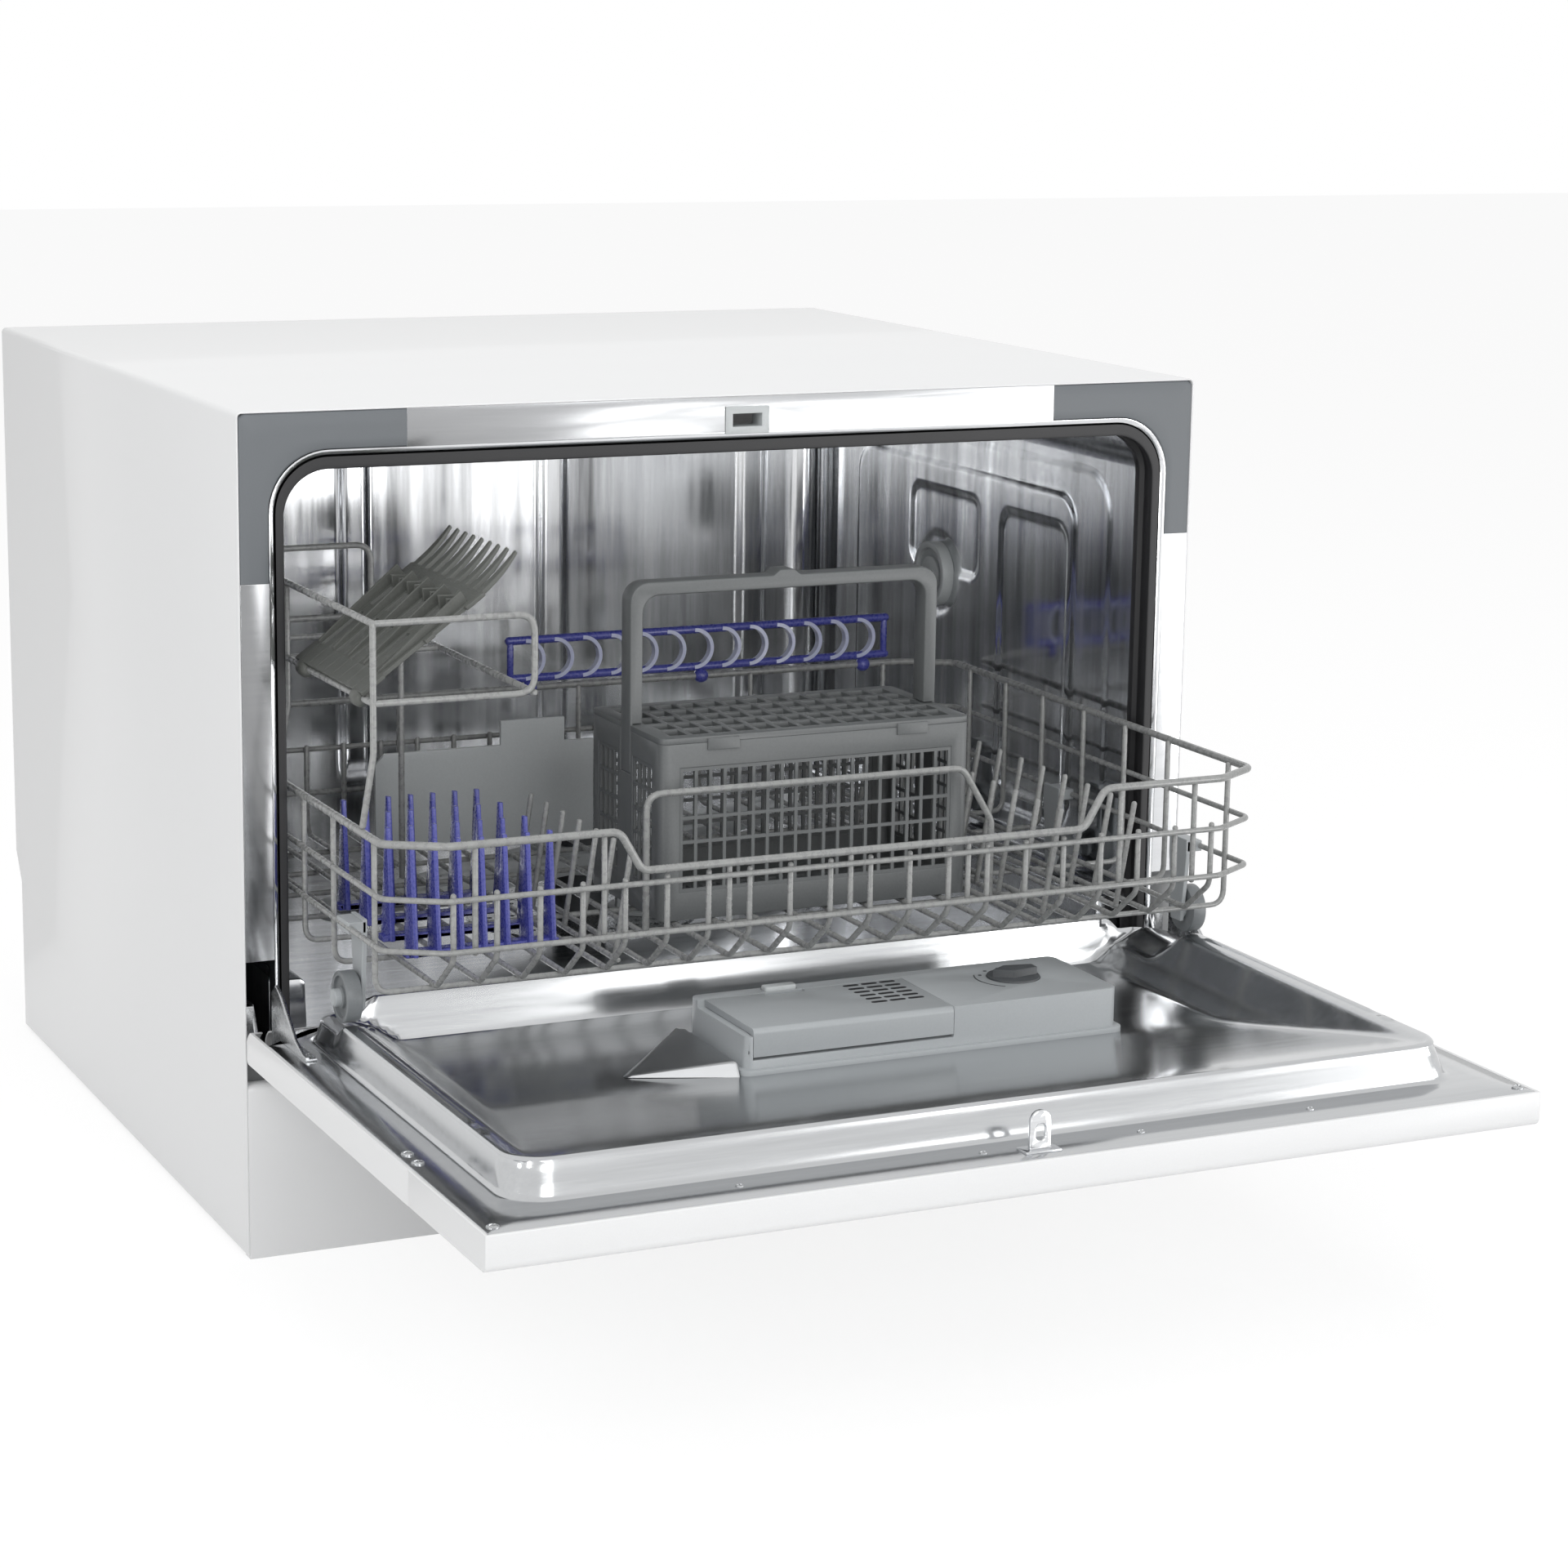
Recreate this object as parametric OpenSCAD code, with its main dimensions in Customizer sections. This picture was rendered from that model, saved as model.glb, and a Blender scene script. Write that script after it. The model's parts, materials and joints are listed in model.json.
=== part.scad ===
// Countertop dishwasher, door open and rack drawn out over it.
// Origin: middle of the front edge of the footprint, on the counter. X to the right, Y to the rear, Z up.

/* [Cabinet] */
// Width over the painted sides
cabinet_w = 550; // [540:1:600]
// Height from the counter to the top
cabinet_h = 438; // [430:1:470]
// Depth of the cabinet behind the door
cabinet_d = 483; // [470:1:530]
// Thickness of the painted wrap
wrap_t = 1; // [0.8:0.1:1]
// Height of the plinth's top edge
plinth_h = 93; // [88:1:93]
// Height of the top strip of the front frame
strip_h = 20; // [20:1:24]

/* [Door] */
// Thickness of the door slab
door_t = 17.5; // [17.5:0.5:18.5]
// Height of the open door's upper face
door_top_z = 123.4; // [123:0.1:124]
// Height of the closed door's lower edge
door_low_z = 96; // [95.5:0.1:97]
// Gap between the closed door and the frame
door_gap = 3; // [2.8:0.1:3.4]
// Height of the liner's rim above the door's upper face
rim_h = 17.6; // [17:0.1:18]
// Length of the control fascia from the door's free edge
fascia_l = 98; // [90:1:105]

/* [Rack] */
// How far the rack's front stands out of the cabinet
rack_out = 138; // [134:1:140]
// Length of the rack from front to rear
rack_l = 368; // [350:1:370]
// Height of the rack's top rail
rail_z = 243.5; // [240:0.5:248]
// Height of the floor wires
floor_wire_z = 168; // [168:0.5:171]
// Diameter of the top rail
rail_d = 4; // [3.6:0.1:4.6]
// Diameter of the other rack wires
wire_d = 3; // [2.8:0.1:3.4]
// Radius of the rack's wheels
wheel_r = 13; // [12.5:0.1:13]
// Number of front-to-rear floor wires
floor_wires = 20; // [16:1:22]

/* [Basket] */
// Width of the cutlery basket
basket_w = 180; // [170:1:184]
// Depth of the cutlery basket
basket_l = 95; // [85:1:100]
// Height of the cutlery basket's body
basket_h = 97; // [88:1:99]

/* [Dispenser] */
// Width of the detergent dispenser
disp_w = 212; // [205:1:215]
// Length of the detergent dispenser
disp_l = 70; // [68:1:74]

/* [Hidden] */

white = [0.95, 0.95, 0.95];
steel = [0.75, 0.76, 0.77];
dark = [0.44, 0.46, 0.48];
grey = [0.6, 0.62, 0.62];
wire_grey = [0.66, 0.66, 0.64];
blue = [0.28, 0.3, 0.62];
black = [0.08, 0.08, 0.09];

side_x = cabinet_w / 2;
inner_x = side_x - wrap_t;
through = 1;
fit = 0.3;

// Tub: sheet, mouth and wheel ledges
tub_t = 1;
tub_x = side_x - 20;
tub_top = cabinet_h - strip_h - 4;
tub_corner = 28;
tub_rear_y = cabinet_d - 45;
tub_floor_z = 107;
ledge_x = tub_x - 19;
rim_top_z = door_top_z + rim_h;
ledge_z = rim_top_z;
ledge_y = 22;
lip = 3.6;
mouth_x = tub_x + lip;
mouth_top = tub_top + lip;
gasket_t = 4.5;
gasket_top_t = 6.5;
gasket_d = 20;

// Door: swing axis and outline. Door points are given as [forward of the axis, above the axis].
axis_z = 110;
axis_y = -door_gap - (door_top_z - axis_z);
door_low = door_low_z - axis_z;
door_len = cabinet_h - axis_z;
door_rear_y = axis_y - door_low;
door_front_y = axis_y - door_len;
door_under_z = door_top_z - door_t;
seam_y = door_front_y + fascia_l;
swing_r = -axis_y - 0.5;
door_wall = 2;
skin_t = 1.2;
flange_t = 1;
foot_x = tub_x - gasket_t - 0.7;
rim_draft = 2.3;
rim_rear_y = axis_y - 3;
rim_front_y = axis_y - (mouth_top - lip - gasket_top_t - 2.5 - axis_z);
dish_z = door_top_z - 5.4;
dish_wall = 9.5;
pin_r = 2;
hinge_x = side_x - 12;
hinge_t = 2;
pin_play = 0.05;

// Rack: where it stands and how it closes
rack_front_y = -rack_out;
rack_rear_y = rack_front_y + rack_l;
rack_x = ledge_x + 7.5;
chamfer_x = 27.5;
chamfer_y = 17;
weld = 0.4;
cross_z = floor_wire_z - wire_d + weld;
wheel_z = ledge_z + fit + wheel_r;
wheel_w = 8;
wheel_x = ledge_x + 6.5;
axle_r = 3;
front_wheel_y = rack_front_y + 72;
mid_wheel_y = rack_front_y + 213;
rear_wheel_y = rack_rear_y - 17;
mid_ring_z = floor_wire_z + 48.5;
low_ring_z = floor_wire_z + 23;
leg_y = rack_front_y + wire_d - weld;
leg_bend_z = low_ring_z - 5;
bar_t = wire_d - 0.4;
floor_y0 = rack_front_y + 26;

basket_x = 25;
basket_front_y = -45;
basket_z = floor_wire_z + wire_d / 2 + fit;
basket_top = basket_z + basket_h;
basket_wall = 2.5;

disp_x = 40;
disp_rear_y = -86;
disp_z = rim_top_z + 0.4;
disp_front_y = disp_rear_y - disp_l;
foot_lip = 3;
lid_l = 112;

shelf_z = rail_z + 63;
shelf_top_z = shelf_z + 39;
shelf_w = 83;
shelf_front_y = rack_front_y + 43;
shelf_l = 245;
shelf_wire = 3.4;

sump_y = tub_rear_y / 2 + 6;
sump_r = 60;
stub_r = 9;
arm_z = 136;
arm_h = 13;

// Points of an arc in a plane, and helpers that extrude an outline along one axis
function arc(c, r, a, b, n = 6) = [for (i = [0:n]) c + r * [cos(a + (b - a) * i / n), sin(a + (b - a)
    * i / n)]];
function rounded(x0, y0, x1, y1, r, n = 6) = concat(
    arc([x1 - r, y1 - r], r, 0, 90, n), arc([x0 + r, y1 - r], r, 90, 180, n),
    arc([x0 + r, y0 + r], r, 180, 270, n), arc([x1 - r, y0 + r], r, 270, 360, n));
// An arch: straight legs from z0 up to a flat top with round shoulders
function arch(x, z0, z1, r) = concat(arc([x - r, z1 - r], r, 0, 90), arc([r - x, z1 - r], r, 90, 180),
    [[-x, z0], [x, z0]]);

module along_x(x0, x1) translate([x0, 0, 0]) rotate([90, 0, 90]) linear_extrude(x1 - x0) children();
module along_y(y0, y1) translate([0, y1, 0]) rotate([90, 0, 0]) linear_extrude(y1 - y0) children();
module along_z(z0, z1) translate([0, 0, z0]) linear_extrude(z1 - z0) children();
module block(x0, y0, z0, x1, y1, z1) translate([x0, y0, z0]) cube([x1 - x0, y1 - y0, z1 - z0]);
module rod_x(x0, x1, y, z, r) translate([x0, y, z]) rotate([0, 90, 0]) cylinder(h = x1 - x0, r = r,
    $fn = 32);
module both_sides() {
    children();
    mirror([1, 0, 0]) children();
}

// Turns +Z from a towards b
module aim(a, b) {
    v = b - a;
    translate(a) rotate([0, acos(v[2] / norm(v)), atan2(v[1], v[0])]) children();
}
// A straight wire, and a bent one with a bead at each bend
module wire(a, b, d) aim(a, b) cylinder(h = norm(b - a), d = d, $fn = 24);
module bent_wire(points, d) {
    for (i = [0:len(points) - 2]) wire(points[i], points[i + 1], d);
    for (i = [1:len(points) - 2]) aim(points[i], points[i + 1]) sphere(d = d * 1.06, $fn = 16);
}

// Cabinet

notch_low_z = 94;
notch_high_z = 112;
notch_d = 12;
wrap_low_z = 2;
tray_z = 6;
tray_wall = 2.5;
tray_front_y = 8;

module cabinet_wrap() {
    outer_r = 3;
    color(white) difference() {
        along_y(0, cabinet_d) difference() {
            polygon(arch(side_x, wrap_low_z, cabinet_h, outer_r));
            polygon(arch(inner_x, wrap_low_z - through, cabinet_h - wrap_t, outer_r - wrap_t));
        }
        along_x(-side_x - through, side_x + through) polygon([
            [cabinet_d - notch_d, 0], [cabinet_d + through, 0], [cabinet_d + through, notch_high_z],
            [cabinet_d, notch_high_z], [cabinet_d - notch_d, notch_low_z]]);
    }
}

module rear_panel() {
    y = cabinet_d;
    low_y = y - notch_d;
    top = cabinet_h - wrap_t;
    color(white) difference() {
        along_x(-inner_x, inner_x) polygon([
            [y, top - 2], [y, notch_high_z], [low_y, notch_low_z], [low_y, tray_z], [low_y - wrap_t,
                tray_z],
            [low_y - wrap_t, notch_low_z + 0.3], [y - wrap_t, notch_high_z + 0.3], [y - wrap_t, top - 2]]);
        for (p = [inlet, drain]) translate([p[0], low_y + through, p[1]]) rotate([90, 0, 0])
            cylinder(h = 3 * through, r = p[2] + 1, $fn = 48);
    }
}

// Ports as [x, height, radius]
inlet = [-215, 52, 13.2];
drain = [-160, 48, 10];

module water_ports() {
    wall_y = cabinet_d - notch_d;
    color(grey) for (p = [inlet, drain]) translate([p[0], 0, p[1]]) {
        translate([0, wall_y - wrap_t, 0]) rotate([90, 0, 0]) cylinder(h = 4, r = p[2] + 6, $fn = 48);
        difference() {
            translate([0, cabinet_d, 0]) rotate([90, 0, 0]) cylinder(h = 45, r = p[2], $fn = 48);
            translate([0, cabinet_d + through, 0]) rotate([90, 0, 0]) cylinder(h = 30, r = p[2] - 3,
                $fn = 48);
        }
    }
}

module base_tray() {
    rear_y = cabinet_d - notch_d - wrap_t;
    color(dark) difference() {
        union() {
            block(-inner_x, tray_front_y, tray_z, inner_x, rear_y, notch_low_z - 2);
            block(-inner_x, tray_front_y, tray_z, inner_x, tray_front_y + tray_wall, tub_floor_z - tub_t);
        }
        block(-inner_x + tray_wall, tray_front_y + tray_wall, tray_z + tray_wall,
            inner_x - tray_wall, rear_y - tray_wall, tub_floor_z + through);
        for (p = [inlet, drain]) translate([p[0], cabinet_d, p[1]]) rotate([90, 0, 0])
            cylinder(h = 40, r = p[2] + 6.5, $fn = 48);
    }
}

module plinth() {
    t = 1.5;
    r = 4;
    top = plinth_h;
    color(white) along_x(-inner_x, inner_x) polygon(concat([[0, 0]], arc([r, top - r], r, 180, 90),
        [[tray_front_y, top], [tray_front_y, top - t]], arc([r, top - r], r - t, 90, 180),
        [[t, t], [tray_front_y, t], [tray_front_y, 0]]));
}

module feet() {
    color(black) for (x = [-1, 1], y = [42, cabinet_d - 52]) translate([x * (side_x - 42), y, 0]) {
        cylinder(h = 4, r = 15, $fn = 48);
        translate([0, 0, 4]) cylinder(h = tray_z - 4, r = 11, $fn = 48);
    }
}

// Tub

module tub_roof() {
    low = tub_top - tub_corner;
    color(steel) {
        along_y(0, tub_rear_y) difference() {
            polygon(arch(tub_x + tub_t, low, tub_top + tub_t, tub_corner + tub_t));
            polygon(arch(tub_x, low - through, tub_top, tub_corner));
        }
        along_y(0, tub_t) difference() {
            polygon(arch(mouth_x, low, mouth_top, tub_corner + lip));
            polygon(arch(tub_x, low - through, tub_top, tub_corner));
        }
    }
}

// A pressed field of the side wall, standing proud of it by press_t
press_t = 1.2;
vent_y = sump_y + 34;
vent_z = 292;
vent_r = 20;

module pressed_fields() {
    field_low = ledge_z + 22;
    field_high = tub_top - 53;
    split_y = vent_y - 67;
    difference() {
        polygon(rounded(90, field_low, tub_rear_y - 68, field_high, 18));
        polygon(rounded(split_y + 14, vent_z + 4, tub_rear_y - 144, field_high - 16, 10));
        polygon(rounded(98, field_low + 12, split_y - 14, field_high - 18, 12));
        translate([vent_y, vent_z]) circle(r = vent_r + 1, $fn = 48);
    }
}

module tub_side() {
    top = tub_top - tub_corner;
    riser_t = tub_t;
    block(tub_x, 0, tub_floor_z, tub_x + tub_t, tub_rear_y, top);
    block(tub_x, 0, tub_floor_z, mouth_x, tub_t, top);
    block(ledge_x, ledge_y, ledge_z - tub_t, tub_x + tub_t / 2, tub_rear_y, ledge_z);
    block(ledge_x - riser_t, ledge_y, tub_floor_z, ledge_x, tub_rear_y, ledge_z);
    block(ledge_x - riser_t, ledge_y, tub_floor_z, tub_x + tub_t / 2, ledge_y + tub_t, ledge_z);
    along_x(tub_x - press_t, tub_x + tub_t / 2) pressed_fields();
}
module tub_side_left() color(steel) mirror([1, 0, 0]) tub_side();
module tub_side_right() color(steel) tub_side();

module tub_rear() {
    rib_w = 20;
    rib_t = 2.5;
    rib_r = 2;
    color(steel) {
        along_y(tub_rear_y, tub_rear_y + tub_t)
            polygon(arch(tub_x + tub_t, tub_floor_z, tub_top + tub_t, tub_corner + tub_t));
        for (x = [-208, -67, 67, 208]) along_z(tub_floor_z + 45, tub_top - 12) polygon([
            [x - rib_w / 2, tub_rear_y + tub_t / 2], [x - rib_w / 2 + rib_r, tub_rear_y - rib_t],
            [x + rib_w / 2 - rib_r, tub_rear_y - rib_t], [x + rib_w / 2, tub_rear_y + tub_t / 2]]);
    }
}

module tub_floor() {
    weir_y = 18;
    color(steel) {
        difference() {
            block(-mouth_x, tray_front_y, tub_floor_z - tub_t, mouth_x, tub_rear_y + tub_t, tub_floor_z);
            translate([0, sump_y, tub_floor_z - 2 * tub_t]) cylinder(h = 3 * tub_t, r = sump_r, $fn = 96);
        }
        block(-tub_x, 1, tub_floor_z - tub_t, tub_x, tray_front_y, tub_floor_z);
        along_x(-ledge_x, ledge_x) polygon(concat([[weir_y - 4, tub_floor_z - tub_t / 2]],
            arc([weir_y, tub_floor_z], 3.2, 180, 0), [[weir_y + 4, tub_floor_z - tub_t / 2]]));
    }
}

module vent_cap() {
    color(grey) translate([tub_x, vent_y, vent_z]) rotate([0, -90, 0]) {
        difference() {
            cylinder(h = 8, r = vent_r, $fn = 64);
            translate([0, 0, 5]) cylinder(h = 4, r = vent_r - 4, $fn = 64);
        }
        cylinder(h = 7, r = vent_r - 9, $fn = 48);
    }
}

// Front frame

frame_d = 14;
corner_l = 88;
corner_h = 85;
column_low_z = 158;

module corner_piece() {
    t = 2;
    module outline(inset) intersection() {
        difference() {
            polygon(arch(inner_x - inset, 0, cabinet_h - wrap_t - inset, 2));
            polygon(arch(mouth_x + inset, -through, mouth_top + inset, tub_corner + lip + inset));
        }
        translate([inner_x - corner_l + inset, cabinet_h - wrap_t - corner_h + inset])
            square([corner_l, corner_h]);
    }
    difference() {
        along_y(0, frame_d) outline(0);
        along_y(t, frame_d + through) outline(t);
    }
}
module frame_corner_left() color(dark) mirror([1, 0, 0]) corner_piece();
module frame_corner_right() color(dark) corner_piece();

slot_x = 2;
slot_w = 22;
slot_h = 12;
hook_y = door_front_y + 13.4;
slot_z = axis_z + axis_y - hook_y;

module frame_top_strip() {
    x = inner_x - corner_l;
    t = 1.2;
    top = cabinet_h - wrap_t;
    color(steel) difference() {
        block(-x, 0, mouth_top, x, frame_d, top);
        block(-x - through, t, mouth_top + t, x + through, frame_d + through, top - t);
        block(slot_x - slot_w / 2, -through, slot_z - slot_h / 2, slot_x + slot_w / 2, frame_d + through,
            slot_z + slot_h / 2);
    }
}

module latch_strike() {
    bezel = 0.8;
    wall = 2.6;
    color(grey) difference() {
        union() {
            block(slot_x - slot_w / 2, -bezel, slot_z - slot_h / 2, slot_x + slot_w / 2, frame_d - 2,
                slot_z + slot_h / 2);
            block(slot_x - slot_w / 2 - 1.5, -bezel, slot_z - slot_h / 2 - 1.2,
                slot_x + slot_w / 2 + 1.5, 0,
                slot_z + slot_h / 2 + 1.2);
        }
        block(slot_x - slot_w / 2 + wall, -through, slot_z - slot_h / 2 + wall,
            slot_x + slot_w / 2 - wall, frame_d,
            slot_z + slot_h / 2 - wall);
    }
}

module frame_columns() {
    top = cabinet_h - wrap_t - corner_h;
    t = 1.2;
    color(steel) both_sides() difference() {
        block(mouth_x, 0, column_low_z, inner_x, frame_d, top);
        block(mouth_x + t, t, column_low_z + t, inner_x - t, frame_d + through, top - t);
    }
}

module gasket() {
    x = tub_x - gasket_t;
    lobe = 1.6;
    color(black) difference() {
        along_y(tub_t, gasket_d) difference() {
            polygon(arch(tub_x, tub_floor_z, tub_top, tub_corner));
            polygon(arch(x, tub_floor_z - through, tub_top - gasket_top_t, tub_corner - gasket_t));
        }
        along_y(6, gasket_d - 6) difference() {
            polygon(arch(x + lobe, tub_floor_z - through, tub_top - gasket_top_t + lobe,
                tub_corner - gasket_t + lobe));
            polygon(arch(x - through, tub_floor_z - 2 * through, tub_top - gasket_top_t - through,
                tub_corner - gasket_t - through));
        }
    }
}

// Wash parts on the tub floor

module sump_pump() {
    wall = 2.5;
    depth = 46;
    low = tub_floor_z - tub_t - depth;
    motor_r = 30;
    color(dark) translate([0, sump_y, 0]) {
        difference() {
            union() {
                translate([0, 0, low]) cylinder(h = depth, r = sump_r + wall, $fn = 96);
                rod_x(sump_r - 12, sump_r + 110, 0, low + motor_r / 2, motor_r);
            }
            translate([0, 0, low + wall]) cylinder(h = depth, r = sump_r, $fn = 96);
        }
        translate([0, 0, low + wall / 2]) cylinder(h = arm_z + arm_h + fit - low - wall / 2,
            r = stub_r, $fn = 48);
        translate([0, 0, low + wall / 2]) cylinder(h = arm_z - fit - low - wall / 2, r = stub_r + 7,
            $fn = 48);
        translate([0, 0, arm_z + arm_h + fit]) cylinder(h = 7, r1 = stub_r + 6, r2 = stub_r + 2, $fn = 48);
    }
}

cup_r = 18;
cup_x = 36;

module filter_plate() {
    t = 1;
    plate_r = sump_r + 10;
    color(steel) translate([0, sump_y, 0]) along_z(tub_floor_z, tub_floor_z + t) difference() {
        circle(r = plate_r, $fn = 96);
        circle(r = stub_r + 7.3, $fn = 48);
        translate([cup_x, -12]) circle(r = cup_r + fit, $fn = 64);
        for (ring = [0:2], k = [0:17]) let (a = 20 * k + 10 * ring, r = sump_r - 17 + 7 * ring)
            if (norm(r * [cos(a), sin(a)] - [cup_x, -12]) > cup_r + 6)
                translate(r * [cos(a), sin(a)]) circle(r = 1.8, $fn = 16);
    }
}

module filter_cup() {
    wall = 1.5;
    top = tub_floor_z + 1 + fit;
    color(grey) translate([cup_x, sump_y - 12, 0]) {
        difference() {
            union() {
                translate([0, 0, top - 34]) cylinder(h = 34, r = cup_r, $fn = 64);
                translate([0, 0, top]) cylinder(h = 2, r = cup_r + 3, $fn = 64);
            }
            translate([0, 0, top - 34 + wall]) cylinder(h = 40, r = cup_r - wall, $fn = 64);
        }
        block(-cup_r + wall / 2, -2, top - 6, cup_r - wall / 2, 2, top + 12);
        block(-3, -cup_r + wall / 2, top - 6, 3, cup_r - wall / 2, top + 2);
    }
}

module spray_arm() {
    reach = ledge_x - 46;
    wide = 24;
    tip = 12;
    color(grey) translate([0, sump_y, arm_z]) rotate([0, 0, 24]) difference() {
        union() {
            cylinder(h = arm_h, r = 30, $fn = 64);
            translate([0, 0, 2]) linear_extrude(arm_h - 4) polygon([[-reach, -tip], [0, -wide], [reach,
                -tip],
                [reach, tip], [0, wide], [-reach, tip]]);
            for (s = [-1, 1]) translate([s * reach, 0, 2]) cylinder(h = arm_h - 4, r = tip + 0.3, $fn = 32);
        }
        translate([0, 0, -through]) cylinder(h = arm_h + 2 * through, r = stub_r + pin_play, $fn = 48);
        for (s = [-1, 1], k = [1:5]) translate([s * (40 + 24 * k), (k % 2) * 8 - 4, arm_h - 4])
            cylinder(h = 4, r = 2, $fn = 16);
    }
}

// Hinges

module hinge_bracket() {
    x = hinge_x + hinge_t + 1;
    color(steel) {
        along_x(x, x + hinge_t) {
            union() {
                polygon([[axis_y, axis_z - 2.6], [26, axis_z - 2.6], [26, axis_z + 22], [14, axis_z + 22],
                    [4, axis_z + 2.6], [axis_y, axis_z + 2.6]]);
                translate([axis_y, axis_z]) circle(r = 2.8, $fn = 32);
            }
        }
        rod_x(hinge_x - 1, x + hinge_t / 2, axis_y, axis_z, pin_r);
        block(x + hinge_t / 2, tray_front_y + tray_wall, axis_z - 2.6, inner_x, 26, axis_z + 22);
    }
}
module hinge_bracket_left() mirror([1, 0, 0]) hinge_bracket();
module hinge_bracket_right() hinge_bracket();

// The swinging lever: a plate on the pin, a horn that dips into the cabinet and a foot along the flange
module hinge_arm() {
    z = door_top_z;
    color(steel) {
        along_x(hinge_x, hinge_x + hinge_t) difference() {
            polygon([[axis_y + 3.2, axis_z - 2.8], [axis_y - 14, axis_z - 2.8], [axis_y - 16, z],
                [axis_y - 52, z],
                [axis_y - 52, z + 2.4], [axis_y - 46.5, z + 2.4], [axis_y - 34, z + 6], [axis_y - 12,
                    z + 23], [axis_y - 3, z + 27],
                [axis_y + 3.2, z + 22]]);
            translate([axis_y, axis_z]) circle(r = pin_r + pin_play, $fn = 32);
        }
        block(hinge_x - 4, axis_y - 52, z, hinge_x + hinge_t / 2, axis_y - 18, z + 1.5);
    }
}
module hinge_arm_left() mirror([1, 0, 0]) hinge_arm();
module hinge_arm_right() hinge_arm();

// Door

module door_panel() {
    z = door_under_z;
    r = 3;
    inner_r = swing_r - skin_t;
    outer_a = asin((door_top_z - axis_z) / swing_r);
    low_a = acos(-door_low / swing_r);
    inner_low_a = acos((-door_low - skin_t) / inner_r);
    inner_a = asin((door_top_z - axis_z) / inner_r);
    color(white) difference() {
        along_x(-side_x, side_x) polygon(concat([[seam_y, z]], arc([door_rear_y - r, z + r], r, 270, 360),
            arc([axis_y, axis_z], swing_r, low_a, outer_a, 4), [[seam_y, door_top_z]]));
        along_x(-side_x + door_wall, side_x - door_wall) polygon(concat([[seam_y - through, z + skin_t],
            [door_rear_y - skin_t, z + skin_t]], arc([axis_y, axis_z], inner_r, inner_low_a, inner_a, 4),
            [[axis_y + inner_r * cos(inner_a), door_top_z + through], [seam_y - through,
                door_top_z + through]]));
        both_sides() block(hinge_x + hinge_t + fit, axis_y - 6, axis_z - 2.9,
            hinge_x + 2 * hinge_t + 1 + 2 * fit, door_rear_y + through, door_top_z + through);
    }
}

button_y = door_front_y + 62;
buttons = [-205, 95, 140, 185];
window_x0 = -60;
window_x1 = 50;
window_y = button_y;
window_l = 26;
button_w = 24;
button_l = 10;
grip_x = 62;
grip_l = 20;
grip_z = door_under_z + 11;
grip_y = door_front_y + 10;

module control_fascia() {
    z = door_under_z;
    r = 4;
    t = 2;
    y0 = door_front_y;
    color(white) difference() {
        union() {
            difference() {
                along_x(-side_x, side_x) polygon(concat([[seam_y, z], [seam_y, door_top_z], [y0,
                    door_top_z]],
                    arc([y0 + r, z + r], r, 180, 270)));
                block(-side_x + t, y0 + t, z + t, side_x - t, seam_y - t, door_top_z + through);
            }
            block(-grip_x - t, grip_y - t, z + t / 2, grip_x + t, grip_y + grip_l + t, grip_z + t);
        }
        block(-side_x + t, seam_y - 2 * t, door_top_z - flange_t - 0.1, side_x - t, seam_y + through,
            door_top_z + through);
        block(-grip_x, grip_y, z - through, grip_x, grip_y + grip_l, grip_z);
        for (x = buttons) block(x - button_w / 2 - fit, button_y - button_l / 2 - fit, z - through,
            x + button_w / 2 + fit, button_y + button_l / 2 + fit, z + 2 * t);
        block(window_x0, window_y - window_l / 2, z - through, window_x1, window_y + window_l / 2,
            z + t - 0.8);
    }
}

module display_window() color(black) block(window_x0, window_y - window_l / 2, door_under_z - 0.2,
    window_x1, window_y + window_l / 2, door_under_z + 1.2);

module fascia_button(x) {
    stand = 0.8;
    z = door_under_z;
    color(grey) {
        along_z(z - stand, z + 2.6) polygon([for (p = rounded(-button_w / 2, -button_l / 2,
            button_w / 2, button_l / 2, 2, 3))
            p + [x, button_y]]);
        block(x - button_w / 2 - 1.5, button_y - button_l / 2 - 1.5, z + 4.1, x + button_w / 2 + 1.5,
            button_y + button_l / 2 + 1.5, z + 5);
        block(x - 3, button_y - 3, z + 2, x + 3, button_y + 3, z + 4.5);
    }
}
module power_button() fascia_button(buttons[0]);
module program_button() fascia_button(buttons[1]);
module delay_button() fascia_button(buttons[2]);
module start_button() fascia_button(buttons[3]);

// A solid that runs from one rounded rectangle at z0 to another at z1
module loft(z0, box0, r0, z1, box1, r1) hull() {
    along_z(z0, z0 + 0.01) polygon(rounded(box0[0], box0[1], box0[2], box0[3], r0));
    along_z(z1 - 0.01, z1) polygon(rounded(box1[0], box1[1], box1[2], box1[3], r1));
}

// Zone where the side rims are lowered, so that the front wheels clear them as the door swings up
dip_full_y = axis_y - 55.5;
dip_low_y = axis_y - 46;
dip_depth = 6.6;

module wheel_dip(drop, x0) {
    high = rim_top_z + 5;
    low = rim_top_z - dip_depth - drop;
    both_sides() along_x(x0, foot_x + 5) polygon([[dip_full_y, rim_top_z - drop], [dip_low_y, low],
        [0, low], [0, high], [dip_full_y - 1, high]]);
}

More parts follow.
